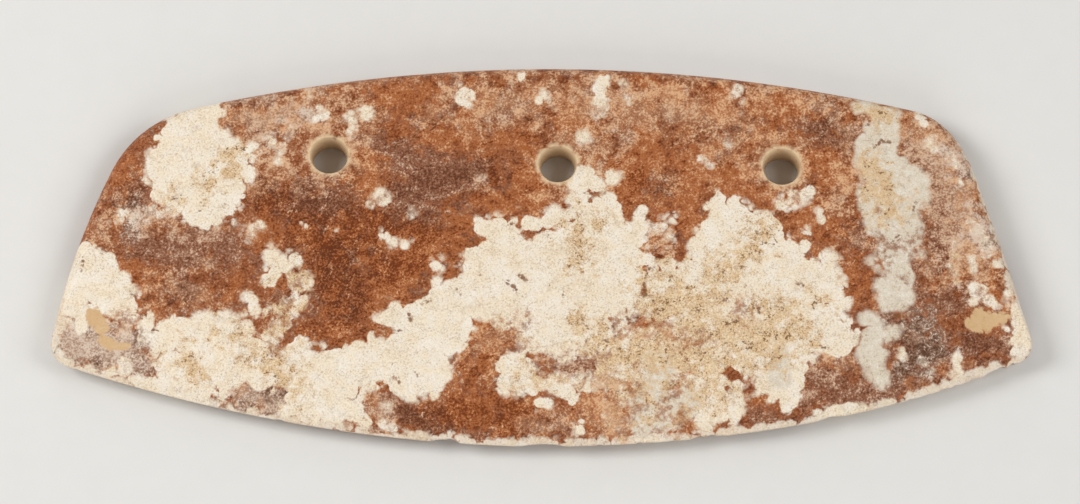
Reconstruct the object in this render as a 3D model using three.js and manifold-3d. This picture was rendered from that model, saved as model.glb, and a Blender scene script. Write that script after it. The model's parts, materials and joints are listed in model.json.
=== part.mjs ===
// A broad, thin blade of ground and polished stone, with a curved cutting edge along one long side
// and three lashing holes in a row below the butt on the other.
// It lies on its flat underside: X runs along the blade, Y from the cutting edge to the butt, Z up.
// All sizes are in millimetres.
import * as THREE from "three";
import { mergeVertices } from "three/addons/utils/BufferGeometryUtils.js";
import Module from "manifold-3d";

// Thickness of the flat middle of the blade.
const THICKNESS = 8;
const HALF = THICKNESS / 2;

// Width of the rounding along the butt and the two sides.
const ROUNDING = 3;

// The cutting edge has a blunt tip, a narrow bevel behind it and a long taper up to the flat middle.
// Each is given by its distance from the edge and by half the thickness there.
const TIP = { reach: 0.4, half: 0.45 };
const BEVEL = { reach: 2.2, half: 1.6 };
const TAPER_REACH = 24;

// The lashing holes are drilled from both faces, so each is narrowest half way through.
const HOLE_CENTRES = [
  [-48, 22.7],
  [3.7, 20.6],
  [54.4, 20],
];
const HOLE_THROAT_RADIUS = 3.85;
const HOLE_MOUTH_RADIUS = 4.7;
const HOLE_FLARE = 3;
const HOLE_SIDES = 28;
const HOLE_LEVELS = 10;
const HOLE_OVERRUN = 1;

// The outline, seen from above and running left round from the butt's left end.
// Each stretch is one curve that starts where the stretch before it ends.
const OUTLINE_START = [-76.5, 35.9];
const STRETCHES = [
  { name: "left shoulder", bend: [-92.5, 32.8], end: [-98.2, 18.6], spacing: 2 },
  { name: "left side", bend: [-105.8, 1.5], end: [-109.6, -18.5], spacing: 4 },
  { name: "left toe", bend: [-111, -24], end: [-105.5, -26], spacing: 1 },
  { name: "left cutting edge", bend: [-52, -43.7], end: [0, -44.4], spacing: 1.8 },
  { name: "right cutting edge", bend: [62, -44], end: [107.2, -24.8], spacing: 1.8 },
  { name: "right toe", bend: [110.8, -22.8], end: [109.8, -19], spacing: 1 },
  { name: "right side", bend: [104.6, 0], end: [98.6, 18.6], spacing: 4 },
  { name: "right shoulder", bend: [94.2, 32.2], end: [85, 34.6], spacing: 2 },
  { name: "butt", bend: [5, 54.4], end: OUTLINE_START, spacing: 4 },
];

// Chips broken out of the cutting edge: where along X, how wide and how deep.
const CHIPS = [
  { x: -21.5, width: 6, depth: 0.7 },
  { x: 0.5, width: 10, depth: 0.6 },
  { x: 37, width: 6, depth: 0.4 },
  { x: 64.5, width: 5, depth: 0.5 },
  { x: 101.5, width: 5, depth: 0.5 },
];

// Distances from the outline, towards the middle, where the faces take a ring of points.
const RING_INSETS = [0.4, 1.1, 2.2, 3.2, 12, 26];

// The line along the middle of the blade that the rings close in on, and how near they may come.
const SPINE_REACH = 72;
const SPINE_Y = 3;
const SPINE_SHARE = 0.85;

// Grey brown, the mean of the stone's red brown and cream.
const STONE = new THREE.MeshStandardMaterial({ color: 0xb08d70, roughness: 0.5, metalness: 0 });

// How far the chips set the cutting edge back at one place along X.
function chipDepth(x) {
  let depth = 0;
  for (const chip of CHIPS) {
    const share = (x - chip.x) / (chip.width / 2);
    depth += chip.depth * Math.max(0, 1 - share * share);
  }
  return depth;
}

// The points of the outline, each marked as on the cutting edge or not.
function outlinePoints() {
  const points = [];
  let start = new THREE.Vector2(...OUTLINE_START);
  for (const stretch of STRETCHES) {
    const end = new THREE.Vector2(...stretch.end);
    const curve = new THREE.QuadraticBezierCurve(start, new THREE.Vector2(...stretch.bend), end);
    const steps = Math.ceil(curve.getLength() / stretch.spacing);
    const cutting = stretch.name.endsWith("cutting edge");
    for (const at of curve.getSpacedPoints(steps).slice(0, -1)) {
      const setBack = cutting ? chipDepth(at.x) : 0;
      points.push({ at: new THREE.Vector2(at.x, at.y + setBack), cutting });
    }
    start = end;
  }
  return points;
}

// The outline moved so that the middle of its box is over the origin.
function centred(points) {
  const middle = new THREE.Box2().setFromPoints(points.map((p) => p.at)).getCenter(new THREE.Vector2());
  return points.map((p) => ({ at: p.at.clone().sub(middle), cutting: p.cutting }));
}

// The shortest distance from a place to the stretches of the outline that are, or aren't, cutting edge.
function distanceTo(outline, cutting, place) {
  let nearest = Infinity;
  outline.forEach((point, i) => {
    if (point.cutting !== cutting) return;
    const next = outline[(i + 1) % outline.length];
    const along = next.at.clone().sub(point.at);
    const offset = place.clone().sub(point.at);
    const share = THREE.MathUtils.clamp(offset.dot(along) / along.lengthSq(), 0, 1);
    nearest = Math.min(nearest, offset.addScaledVector(along, -share).length());
  });
  return nearest;
}

// Half the thickness at a distance from the butt or a side: a quarter of an ellipse, then flat.
function roundedHalf(distance) {
  const short = Math.max(0, 1 - distance / ROUNDING);
  return HALF * Math.sqrt(1 - short * short);
}

// Half the thickness at a distance from the cutting edge: blunt tip, bevel, taper, then flat.
function groundHalf(distance) {
  if (distance < TIP.reach) {
    const short = 1 - distance / TIP.reach;
    return TIP.half * Math.sqrt(1 - short * short);
  }
  if (distance < BEVEL.reach) {
    return THREE.MathUtils.mapLinear(distance, TIP.reach, BEVEL.reach, TIP.half, BEVEL.half);
  }
  const share = Math.min(1, (distance - BEVEL.reach) / (TAPER_REACH - BEVEL.reach));
  return BEVEL.half + (HALF - BEVEL.half) * Math.sin((share * Math.PI) / 2);
}

// A ring of points inside the outline, each with half the thickness of the blade there.
function ring(outline, inset) {
  const innermost = inset === RING_INSETS.at(-1);
  return outline.map(({ at }) => {
    const spine = new THREE.Vector2(THREE.MathUtils.clamp(at.x, -SPINE_REACH, SPINE_REACH), SPINE_Y);
    const inward = spine.sub(at);
    const step = Math.min(inset, SPINE_SHARE * inward.length());
    const place = at.clone().addScaledVector(inward.normalize(), step);
    const half = Math.min(
      roundedHalf(distanceTo(outline, false, place)),
      groundHalf(distanceTo(outline, true, place)),
    );
    return { at: place, half: innermost ? HALF : half };
  });
}

// The blade before it is drilled: rings of points from the rim to the flat middle on both faces.
function bladeGeometry(outline) {
  const count = outline.length;
  const rings = RING_INSETS.map((inset) => ring(outline, inset));
  const positions = [];
  const triangles = [];

  const addRing = (points, side) => {
    const first = positions.length / 3;
    points.forEach(({ at, half }) => positions.push(at.x, at.y, HALF + side * half));
    return first;
  };
  const rim = addRing(outline.map(({ at }) => ({ at, half: 0 })), 1);

  for (const side of [1, -1]) {
    const add = (a, b, c) => triangles.push(...(side > 0 ? [a, b, c] : [a, c, b]));
    let outer = rim;
    for (const points of rings) {
      const inner = addRing(points, side);
      for (let i = 0; i < count; i++) {
        const next = (i + 1) % count;
        add(outer + i, outer + next, inner + next);
        add(outer + i, inner + next, inner + i);
      }
      outer = inner;
    }
    const middle = rings.at(-1).map(({ at }) => at);
    for (const [a, b, c] of THREE.ShapeUtils.triangulateShape(middle, [])) {
      add(outer + a, outer + b, outer + c);
    }
  }
  const geometry = new THREE.BufferGeometry();
  geometry.setAttribute("position", new THREE.Float32BufferAttribute(positions, 3));
  return geometry.setIndex(triangles);
}

// The stone that one lashing hole takes away, flared towards both faces.
function holeGeometry([x, y]) {
  const length = THICKNESS + 2 * HOLE_OVERRUN;
  const wall = [];
  for (let level = 0; level <= HOLE_LEVELS; level++) {
    const height = (level / HOLE_LEVELS) * length - length / 2;
    const flare = Math.abs(height / HALF) ** HOLE_FLARE;
    const radius = HOLE_THROAT_RADIUS + (HOLE_MOUTH_RADIUS - HOLE_THROAT_RADIUS) * flare;
    wall.push(new THREE.Vector2(radius, height));
  }
  const bottom = new THREE.Vector2(0, -length / 2);
  const top = new THREE.Vector2(0, length / 2);
  const geometry = new THREE.LatheGeometry([bottom, ...wall, top], HOLE_SIDES);
  return geometry.rotateX(Math.PI / 2).translate(x, y, HALF);
}

const wasm = await Module();
wasm.setup();

// A closed geometry as a solid that can be cut.
function solidOf(geometry) {
  geometry.deleteAttribute("normal");
  geometry.deleteAttribute("uv");
  const merged = mergeVertices(geometry);
  const mesh = new wasm.Mesh({
    numProp: 3,
    vertProperties: merged.attributes.position.array,
    triVerts: new Uint32Array(merged.index.array),
  });
  return new wasm.Manifold(mesh);
}

// A solid as a geometry again.
function geometryOf(solid) {
  const mesh = solid.getMesh();
  const geometry = new THREE.BufferGeometry();
  geometry.setAttribute("position", new THREE.BufferAttribute(mesh.vertProperties, 3));
  geometry.setIndex(new THREE.BufferAttribute(mesh.triVerts, 1));
  geometry.computeVertexNormals();
  return geometry;
}

let drilled = solidOf(bladeGeometry(centred(outlinePoints())));
for (const centre of HOLE_CENTRES) {
  drilled = drilled.subtract(solidOf(holeGeometry(centre)));
}

const blade = new THREE.Mesh(geometryOf(drilled), STONE);
blade.name = "stone_blade";

const axe = new THREE.Group();
axe.name = "polished_stone_axe";
axe.add(blade);

export default axe;
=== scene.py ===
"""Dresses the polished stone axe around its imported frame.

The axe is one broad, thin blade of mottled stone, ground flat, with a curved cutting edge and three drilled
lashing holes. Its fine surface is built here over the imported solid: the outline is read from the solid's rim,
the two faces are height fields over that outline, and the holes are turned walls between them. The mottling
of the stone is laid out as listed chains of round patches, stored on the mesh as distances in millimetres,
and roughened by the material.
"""

import json
import logging
import math
from dataclasses import dataclass, field
from enum import Enum
from functools import partial, reduce

import bpy
import numpy as np
from mathutils import Euler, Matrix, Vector
from mathutils.geometry import delaunay_2d_cdt
from mathutils.kdtree import KDTree


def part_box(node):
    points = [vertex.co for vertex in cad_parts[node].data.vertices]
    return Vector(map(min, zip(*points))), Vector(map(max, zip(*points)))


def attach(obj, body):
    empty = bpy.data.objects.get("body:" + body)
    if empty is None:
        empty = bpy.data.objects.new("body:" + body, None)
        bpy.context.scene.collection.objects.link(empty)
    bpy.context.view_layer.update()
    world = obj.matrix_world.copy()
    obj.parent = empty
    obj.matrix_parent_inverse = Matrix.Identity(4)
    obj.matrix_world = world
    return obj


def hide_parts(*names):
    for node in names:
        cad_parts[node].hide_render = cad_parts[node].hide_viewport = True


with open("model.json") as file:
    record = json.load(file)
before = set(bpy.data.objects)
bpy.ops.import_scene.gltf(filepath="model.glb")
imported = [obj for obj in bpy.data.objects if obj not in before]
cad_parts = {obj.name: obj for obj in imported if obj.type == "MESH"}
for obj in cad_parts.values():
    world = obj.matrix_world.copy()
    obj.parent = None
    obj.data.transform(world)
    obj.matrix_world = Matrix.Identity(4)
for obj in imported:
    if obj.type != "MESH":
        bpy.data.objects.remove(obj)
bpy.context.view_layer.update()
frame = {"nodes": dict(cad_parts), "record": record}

log = logging.getLogger("stone_axe")

MM = 0.001

# The screen's colour curve: a straight line up to its knee, and a power above it.
CURVE_KNEE = 0.04045
CURVE_SLOPE = 12.92
CURVE_OFFSET = 0.055
CURVE_POWER = 2.4

Rgb = tuple[int, int, int]
Disc = tuple[float, float, float]
Chain = tuple[Disc, ...]
Socket = bpy.types.NodeSocket
Given = Socket | float
Inputs = dict[str | int, object]
Colour = Socket | tuple[float, float, float, float]


class Layer(Enum):
    """The kinds of patch in the stone, named as the mesh attributes that hold their distances.

    Inlets are cut out of the cream and grey patches, and have no attribute of their own.
    """

    CREAM = "cream"
    INLET = "inlet"
    CRACK = "crack"
    THIN = "thin"
    PORES = "pores"
    GREY = "grey"
    OCHRE = "ochre"
    VEIL = "veil"
    # Pale blooms in the stone, and also a painted highlight along the butt's rim.
    BLOOM = "bloom"
    DARK = "dark"
    SMOKE = "smoke"
    PURPLE = "purple"
    RUST = "rust"
    DEPOSIT = "deposit"
    # Worn edges of the stone, and up the two sides partly a painted highlight.
    WEAR_AND_HIGHLIGHT = "wear"
    BORE = "bore"


class Bed(Enum):
    """How a pattern is drawn out in the stone: its direction in degrees and how many times longer it gets."""

    EVEN = (0.0, 1.0)
    ALONG = (62.0, 3.0)
    ACROSS = (28.0, 2.5)


class Noise(Enum):
    """How rough noise is: how many finer layers it has, and how strong each is beside the last."""

    SMOOTH = (2.0, 0.5)
    PLAIN = (3.0, 0.5)
    ROUGH = (3.0, 0.6)
    GRITTY = (3.0, 0.7)
    RICH = (4.0, 0.65)
    FRAYED = (6.0, 0.68)


class Kind(Enum):
    """The kinds of socket that node groups have."""

    NUMBER = "NodeSocketFloat"
    INTEGER = "NodeSocketInt"
    VECTOR = "NodeSocketVector"
    COLOUR = "NodeSocketColor"
    GEOMETRY = "NodeSocketGeometry"
    MATERIAL = "NodeSocketMaterial"


def spots(*discs: Disc) -> tuple[Chain, ...]:
    """Makes each disc a round patch of its own."""
    return tuple((disc,) for disc in discs)


# Where the patches lie on the upper face. Each chain is a run of discs joined into one rounded stroke,
# and each disc is its place along the blade, its place across it and its radius, in millimetres.
PATCHES: dict[Layer, tuple[Chain, ...]] = {
    Layer.CREAM: (
        # Left shoulder
        ((-78, 33, 5.5), (-79, 26, 8), (-81, 20, 8.2), (-80.5, 17, 8)),
        ((-79, 22, 8), (-71.5, 21, 6), (-66.5, 23.5, 2.2)),
        ((-69.5, 18.4, 3.6), (-66.4, 19.6, 1.3), (-66.8, 16.8, 0.9)),
        ((-81.5, 15.5, 7.3), (-73, 14, 6.4), (-69.4, 13.6, 1.4)),
        ((-77.5, 11, 4.6), (-74, 9.2, 4.2), (-71.8, 9, 2.4)),
        *spots((-70.4, 7, 1), (-89, 16, 1.6), (-86.8, 26.6, 1.3)),
        # Left side
        ((-103, -1, 2.8), (-103.5, -8, 4), (-104.5, -14, 3)),
        ((-99.5, -4, 4), (-98, -9, 5.5), (-98, -12, 4)),
        ((-95, -6.5, 2), (-93.5, -10.5, 3), (-92.3, -13, 1.6)),
        ((-97, -14, 2), (-95, -15.6, 1.9), (-91.6, -16.6, 0.8)), ((-103.5, -16, 1.8), (-103.5, -18.5, 1)),
        # Lower left, along the cutting edge
        ((-89, -15.5, 1.6), (-88.7, -19, 1.8), (-89.5, -21, 0.7)), ((-93.6, -18, 0.8), (-92.4, -19, 0.7)),
        ((-84, -20, 3), (-79, -20, 5.3), (-72, -21, 6.4), (-67, -22, 5.5), (-61, -27.5, 5.5)),
        ((-84, -26, 2.8), (-77, -28, 6), (-69, -26.5, 5)),
        ((-92, -30, 0.8), (-84, -32.4, 1.8), (-76, -34.8, 1.8)),
        ((-97, -28.6, 0.8), (-86, -30.5, 1.5), (-78, -32, 2.6), (-72, -33.5, 1.5)),
        *spots((-85.4, -23, 1.8)),
        # Branching spot and its neighbours
        ((-60.8, -0.6, 1.3), (-59.6, -4, 1.9), (-60.9, -7.2, 1.4)),
        ((-59, -4, 1.7), (-56.2, -2, 1.5), (-55.4, -2.4, 1.2)), ((-65.8, -11, 1), (-64.8, -13.5, 1.4)),
        ((-55, -7.2, 2.2), (-53.8, -7.4, 2.2)), ((-55, -11.5, 2.2), (-57, -14, 3), (-58.5, -18, 2.2)),
        ((-62, -14.5, 0.8), (-66, -15.5, 0.8)),
        # Lower middle, rising into the centre
        ((-54, -22.8, 2.2), (-56, -27, 5.5), (-46, -28.5, 5.6), (-37, -26.5, 5.6), (-29.5, -20, 6)),
        ((-54, -34, 3.6), (-46, -36, 4.2), (-42, -38, 2.2)), ((-57, -37.4, 1.4), (-50, -39, 1.6)),
        ((-31, -31.4, 3.2), (-27, -31.8, 3.4)), ((-36.5, -40.3, 1), (-33, -41.3, 0.7)),
        ((-31, -25, 6), (-26, -28, 5.5), (-25.5, -31.3, 3.2)),
        ((-36.2, -16.6, 1.1), (-32.5, -15, 2.3), (-29.5, -14.8, 2.3)),
        ((-23.6, -7.4, 0.9), (-23.8, -9.6, 1.5)), ((-28, -18, 5), (-22.5, -15, 5.2)),
        ((-23.5, -19, 4.6), (-24.6, -27, 4.2), (-25.4, -31, 3.2)), ((-19.6, -19.4, 2.4), (-22.5, -25, 2.7)),
        ((-17.2, -17.6, 2), (-18.6, -21.6, 1.6), (-21.4, -26, 1.3)), ((-12, -15.4, 2), (-6, -16.6, 2.4)),
        *spots(
            (-42, -34.4, 1.6), (-42.4, -33.2, 2.2), (-36.4, -32.2, 1.4), (-39.4, -40, 1.4),
            (-34.6, -37, 0.8), (-38, -40.6, 1.4),
        ),
        # Centre
        ((-22.5, -15, 5), (-14, -9.5, 5.8), (-8.5, -3, 6.3), (-8.8, 1.5, 4.6)),
        ((-14.8, -2, 3.2), (-15.4, -5.5, 3.2)), ((-13.7, 6, 2), (-10.5, 6, 2.4), (-8, 6.6, 1.4)),
        ((-3, 6.5, 1.5), (0.5, 6.4, 2.2), (3, 8.5, 1.8)),
        ((-12, -10.5, 5), (0, -6, 9), (10, -2, 10), (13, 3, 8)),
        ((8, 9, 3), (9, 13, 2.6), (8.6, 16.6, 2.2)), ((10.4, 18.6, 2.6), (11.8, 15.6, 2)),
        ((16, 17.3, 1.5), (17.2, 17.3, 0.9)), ((15, 10, 3.2), (13, 6, 5)),
        ((20.8, 2.5, 3), (22.5, 7.5, 1.7), (23, 9.5, 0.8)), ((23.4, -2.6, 1.5), (27.6, -3, 1.8)),
        ((25.5, 5.5, 0.9), (29.5, 7.2, 1.4)), ((5, -11, 8.5), (17, -8, 6.5), (20, -3, 4)),
        ((-10.5, -12, 3.6), (-8.4, -15.2, 2.6)), ((-6.5, -15, 2.2), (-3, -18.6, 2.4), (-3, -22.6, 2)),
        ((-1, -21, 2.8), (6, -19, 5), (13, -20, 5.2)), ((22, -12.5, 2.6), (22, -21, 2)),
        ((-4, -26, 1.8), (-2.6, -28.2, 1.6)), ((3.4, -25.4, 0.8), (6.8, -25.2, 1.1)),
        ((1.5, -29.9, 1.2), (8, -30.1, 1.2)),
        ((-2, -23.5, 1.6), (4, -23, 2), (9, -22.6, 2.2), (14, -23.6, 2)),
        ((15, -28.5, 2), (17.5, -32, 2.6), (15, -35, 1)),
        ((-7, -26.8, 2.8), (-7, -31.3, 2.4), (-1.5, -31.3, 2.2)),
        ((3, -31.6, 2), (6.3, -32.5, 2), (6.9, -35.2, 0.9)), ((-0.5, -35.8, 1.1), (1.3, -36, 0.9)),
        ((10.8, -32.5, 1), (11.6, -29.4, 1.2), (14, -27.5, 1.4)), ((16, -37, 2.4), (17.5, -41, 2)),
        ((8.4, -40.4, 1.1), (8.6, -42.4, 0.8)), ((19.6, -43.6, 1), (26, -43.8, 1.2)),
        ((17, -24.5, 4.5), (20, -20, 5)),
        *spots(
            (-6.6, 7.6, 1.2), (-17.4, -4, 1.4), (12.4, 12, 1.8), (28.8, 2.2, 1.2), (25.8, 4.6, 0.9),
            (-8, -17.4, 2.2),
        ),
        # Right of the centre
        ((40.3, 13.3, 1.2), (40, 9.5, 2.8), (39.5, 5, 4), (38, 0, 5)),
        ((43.5, 10.6, 2), (44, 6, 5), (45, 0, 8)), ((42.4, 10.6, 1.6), (46, 9.4, 1.8)),
        ((49, 5, 4.5), (50.5, 0, 6), (57, -1.6, 3.1)), ((26, -8, 4), (38, -7, 6), (47, -8, 9), (56, -8, 8)),
        ((27, -10, 4), (30, -16, 6), (24, -23, 5)), ((40, -17, 9), (50, -19, 9), (57.5, -17, 8)),
        ((64.6, -3, 2.6), (64, -8, 4.2), (66.3, -11.8, 2.8)), ((64.5, -17, 3.6), (66.6, -21, 3.8)),
        ((68, -17.4, 1.8), (68.4, -22, 1.6)), ((56, -24, 5), (55, -30, 3.2), (55.2, -36, 1.9)),
        ((28, -30, 6), (26, -38, 5)), ((34, -34, 5), (37.5, -38, 4), (42, -37, 3.2)),
        ((39, -31, 3.4), (43, -33, 2.6), (43, -38.4, 2.2)), ((44, -25, 5), (38, -26, 6)),
        ((49.5, -27.5, 2.6), (51.4, -33, 2.2)),
        ((19.4, -28, 1.6), (20.8, -31, 1.6), (21.8, -36, 1.6), (22.4, -41, 2)),
        *spots((58.8, 0.6, 1.4), (48.6, -32.4, 1.5), (69.4, -19.4, 1.4)),
        # Spots along the butt
        ((-56, 29.4, 0.5), (-58, 25, 0.7), (-59.6, 21.4, 0.3)), ((-53, 37.6, 0.3), (-53.4, 35.2, 0.4)),
        ((-49.8, 33, 1.6), (-50.5, 31.5, 1.2)), ((-17.3, 36.4, 1.9), (-17, 38.3, 1.5)),
        ((13.8, 41, 1.2), (13.6, 38, 1.6), (13.4, 32, 0.9)), ((18.5, 39.5, 0.7), (20, 36, 0.6)),
        ((9.2, 27, 1), (10.2, 27.2, 0.9)), ((44.6, 38.2, 1), (44.4, 36.6, 1)),
        *spots(
            (-61, 26.6, 1.3), (-43.3, 31.8, 1.3), (-39.7, 33, 1.3), (-43.2, 28.5, 0.9), (-4, 41.7, 0.8),
            (0, 36.6, 1.1),
        ),
        # Spots across the middle
        ((-38, 10.8, 0.9), (-36.5, 13, 1.5), (-35.2, 11.5, 1)),
        ((54.8, 11.3, 1.6), (58.3, 12.6, 1.9), (60.5, 14, 1.1)), ((62.9, 8.8, 0.8), (63.5, 7.7, 0.8)),
        ((36, 21.6, 0.5), (38, 20.4, 0.3)), ((-66, 4, 1.3), (-64.3, 5.2, 1.6)),
        *spots(
            (-35.3, 3.8, 0.8), (-33.5, 1.8, 0.8), (-30.8, 1.7, 1), (-23.2, -3.2, 1.3), (-29.4, 9, 0.6),
            (-46.6, 4.6, 0.1), (-53.4, 6.4, 0.4), (60.1, 4.7, 0.9), (42.4, 25.6, 0.3), (-13.4, 17.6, 0.4),
        ),
        # Spots at the two ends and near the cutting edge
        ((-94, 8.4, 1.1), (-91.6, 7.8, 1)), ((-88.4, 8.4, 1.1), (-86.4, 8.7, 0.8)),
        ((88.4, 25.2, 1.4), (89, 27, 0.8)), ((92.2, 21.7, 1), (93.6, 20.6, 0.6)),
        ((94, 17, 0.4), (96, 15.6, 0.6)), ((85.6, 32, 0.4), (87, 30, 0.3)),
        ((96.2, 9, 0.7), (98.6, 4.4, 1.5), (100.4, 0, 1.5)), ((93.2, 1.2, 0.8), (92.6, -5, 0.6)),
        ((96.6, -1.6, 0.7), (97, -4.4, 0.3)), ((98, -9.4, 2), (97, -11.4, 1.2)),
        ((104.2, -10.8, 1.4), (105.4, -14, 1)),
        ((106.6, -13.5, 1.2), (108, -19, 2), (107.5, -21.8, 2.4), (106.5, -23.5, 1.5)),
        ((92.8, -25, 0.5), (92.8, -28.5, 1)), ((80.3, -23.4, 0.3), (80.5, -25.6, 1)),
        ((84.6, -25.4, 0.3), (86.6, -28, 0.5)), ((62, -38.4, 1), (66, -37.4, 1.3), (72, -37, 0.9)),
        ((92.8, -4, 1.2), (93, -7, 1)),
        *spots(
            (-96.8, 6.6, 0.5), (-93, -26.6, 1.2), (101, -11.8, 1.5), (86.4, -27, 0.3), (104.5, -18.5, 0.7),
            (102.4, -3, 0.8), (103.6, -12, 1.4),
        ),
    ),
    Layer.INLET: (
        ((1.4, -26.6, 1.3), (4.4, -27.6, 1)), ((9, -26.8, 1.4), (11.4, -26, 1.3)),
        ((-14.3, -16.5, 0.8), (-13.5, -19, 1)), ((21.4, -17.4, 1.1), (23.4, -17.4, 1.2)),
        ((-64, -16.8, 1), (-62.7, -18.6, 1.7)), ((-56.7, -20.4, 1), (-59, -24, 1.2)),
        ((27, 1.6, 1.8), (30.3, 1.6, 1.2)), ((30.6, -0.6, 1.1), (31.4, -2.6, 1)),
        ((19.6, 11, 1.8), (19.6, 7.4, 1.6)), ((42.2, -29.5, 1.4), (44.4, -29.8, 0.9)),
        ((46.4, -29.6, 0.8), (46.6, -33, 1.2)), ((14.1, 18.5, 0.8), (14, 16, 0.8)),
        ((-37, -19.6, 1.5), (-35, -19.7, 1.2)), ((74.6, -14.4, 0.8), (79, -15, 0.9), (84, -15.6, 0.8)),
        *spots(
            (-3.5, 3.2, 1.5), (68.8, -14.8, 1.5), (74.4, -10, 1.5), (25, -0.6, 0.8), (-81.4, 7.8, 1.4),
            (41.3, -32.4, 0.9), (-50.6, -22.8, 1.7), (79.2, -24, 1.2),
        ),
    ),
    Layer.CRACK: (
        ((9.6, 13.6, 0.05), (14.4, 13.6, 0.1)), ((-7.6, -7.4, 0.3), (-6, -8.8, 0.4), (-4.7, -10.6, 0.35)),
        ((-4.8, -6, 0.35), (-3.6, -6.9, 0.3)), ((-31.4, -19, 0.2), (-33, -19.2, 0.1)),
        ((-7.2, 5.6, 0.3), (-6.6, 6.4, 0.2)), ((-19, -9, 0.1), (-18.2, -10.4, 0.1)),
        ((-29.9, -14.8, 0.4), (-29.1, -16.4, 0.3)), ((-32.4, -29, 0.1), (-31.8, -31, 0.2)),
        ((-28, -28.4, 0.05), (-27.8, -29.4, 0.05)), ((-26.6, -12.4, 0.2), (-24.8, -11.6, 0.1)),
        ((24.2, -4.6, 0.3), (25.2, -4, 0.2)), ((23.6, -5.6, 0.1), (22.8, -7.8, 0.2), (23.2, -10.6, 0.4)),
        ((40.4, -11.5, 0.2), (41.8, -12, 0.1)), ((48.4, -13.4, 0.3), (48.8, -15, 0.1)),
        ((57, -7.6, 0.2), (59, -8.2, 0.2)), ((62.6, -22.6, 0.2), (64, -23, 0.1)),
        ((-103, -2.6, 0.1), (-103.4, -4.8, 0.1)), ((-83.2, 12.3, 0.3), (-82, 12, 0.1)),
        ((5, -9, 0), (4.7, -12, 0)), ((9.4, -17.4, 0.1), (11, -18.6, 0.1)),
        ((15.8, -17.6, 0.1), (16.6, -20, 0.2)), ((13.6, -21.2, 0.1), (15, -21.4, 0.1)),
        ((19, -15.8, 0.2), (20, -16.4, 0.1)), ((34.8, -13.4, 0.2), (35.4, -14.4, 0.1)),
        ((75.4, 24.7, 0.3), (77, 26.2, 0.3), (79, 25.6, 0.2)), ((73.8, 29.4, 0.2), (74.6, 31, 0.1)),
        ((78, 1.6, 0.1), (80.6, 3.6, 0.1)), ((75.6, -15, 0.1), (80, -15.5, 0.3), (85, -15.2, 0.1)),
        ((83.6, 9, 0.1), (84.4, 11.6, 0.1)),
        *spots(
            (-13.8, -5.8, 0.1), (-92, -10.4, 0.1), (-71.8, 11, 0.1), (10, -21.2, 0.2), (1.4, 3.4, 0.1),
            (76.8, 28, 0.2), (78.4, 22.6, 0.1),
        ),
    ),
    Layer.THIN: (
        ((0.6, -26.4, 1.6), (4.4, -27.4, 1.3), (8.4, -27, 1.7), (11, -25.9, 1.6), (13.2, -25.2, 0.7)),
        ((-4, -17, 0.9), (-3.2, -16.4, 0.6)), ((21.4, -17.2, 1.8), (23.6, -17.6, 1.6)),
        ((26, -18.4, 1.3), (29, -18.8, 0.9)), ((44.7, -13.4, 0.6), (45.1, -16, 0.7)),
        ((31.2, -30.6, 1), (28.6, -35, 0.8), (25.8, -41, 0.5)), ((31, -39.4, 1.4), (31, -41.4, 1)),
        ((15, -36, 3), (17.5, -41, 3)), ((20.6, -32, 0.8), (20.8, -37, 0.8)),
        ((-56, -12.5, 0.8), (-58.5, -18, 0.6)), ((-92, 8.2, 2), (-86, 8.4, 1.5)),
        ((-94, -17.4, 2.4), (-90, -26, 3)), ((-57.5, 26, 2.4), (-53, 36.5, 1.5)),
        ((-10, -19, 2), (-6, -21, 2)), ((93, 0, 2.4), (97, 8, 2), (99, 4, 2.4), (100.4, 0, 2)),
        ((76.4, 2.4, 1.2), (80, 1, 0.8), (84, 3, 1.2)), ((30, -20.8, 0.8), (36.4, -20.6, 0.6)),
        ((16.4, -17, 0.4), (17, -19.6, 0.6)), ((90, 25, 1.2), (93, 20, 1.6)),
        *spots(
            (-54.4, -7.2, 1.2), (-36.7, 11.8, 1.2), (-29.4, 9, 1.5), (-65, 4.5, 1), (19.4, 38, 2),
            (13.5, 33, 1.2), (57, 12.4, 1), (26, 4, 1.6), (37, 21, 1.5), (42.4, 25.6, 1),
            (-34.6, -38.6, 2.6), (15, -32, 3), (84, -1, 0.6), (77, -3.2, 0.5), (82.4, -7, 0.5),
            (99, -10, 1), (-57, -11.6, 1.4), (85.6, -26.6, 2), (93, -5, 2.6), (-13.4, 17.6, 2),
            (44.4, 37.4, 0.8), (-17.2, 36, 0.4), (89, 26, 1.4),
        ),
    ),
    Layer.PORES: (
        ((-79, 16.4, 0.8), (-74, 18.4, 1.4), (-69.6, 21, 2), (-68.4, 25.4, 1)),
        ((-84, 12, 1), (-82, 11.4, 0.8)), ((-103, -2.4, 1.2), (-103, -5, 0.8)),
        ((-79, -26, 1.5), (-76, -29, 1.2)), ((-62, -26, 1.6), (-58, -30, 1.6)),
        ((7.6, 8, 1.6), (8.4, 5, 0.8)), ((8, 0, 1.4), (8.4, -3.4, 1)),
        ((48, 8, 1.4), (52, 2, 2.4), (47, 0, 1.5)), ((60, -13.5, 1), (63, -12.5, 0.8)),
        ((52, -20, 2), (46, -22, 2.5)), ((30, -8, 2), (28, -12, 1.5)), ((15, -33, 2), (17, -40, 2.5)),
        *spots(
            (-77, 9, 0.6), (-101, -1.4, 0.6), (-68, -20, 1.2), (-64, -31, 1), (14, 8, 0.8), (1, 3, 0.6),
            (54, -15, 1.5), (40, -10, 2.5), (-32, -29, 0.8), (37, 5, 0.8), (-5, -28, 1.2),
        ),
    ),
    Layer.GREY: (
        ((72.4, 34.2, 1.4), (79, 33, 1.4)), ((77.5, 31, 3.6), (76.5, 26, 4.8), (77, 20.4, 5.6)),
        ((83, 16, 4), (82, 10, 4.4), (80.3, 3, 4.6), (79.6, -5, 4.2), (79, -11, 3.6)),
        ((75, 14, 3), (74.5, 9, 2), (75.2, 5, 1.6)),
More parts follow.
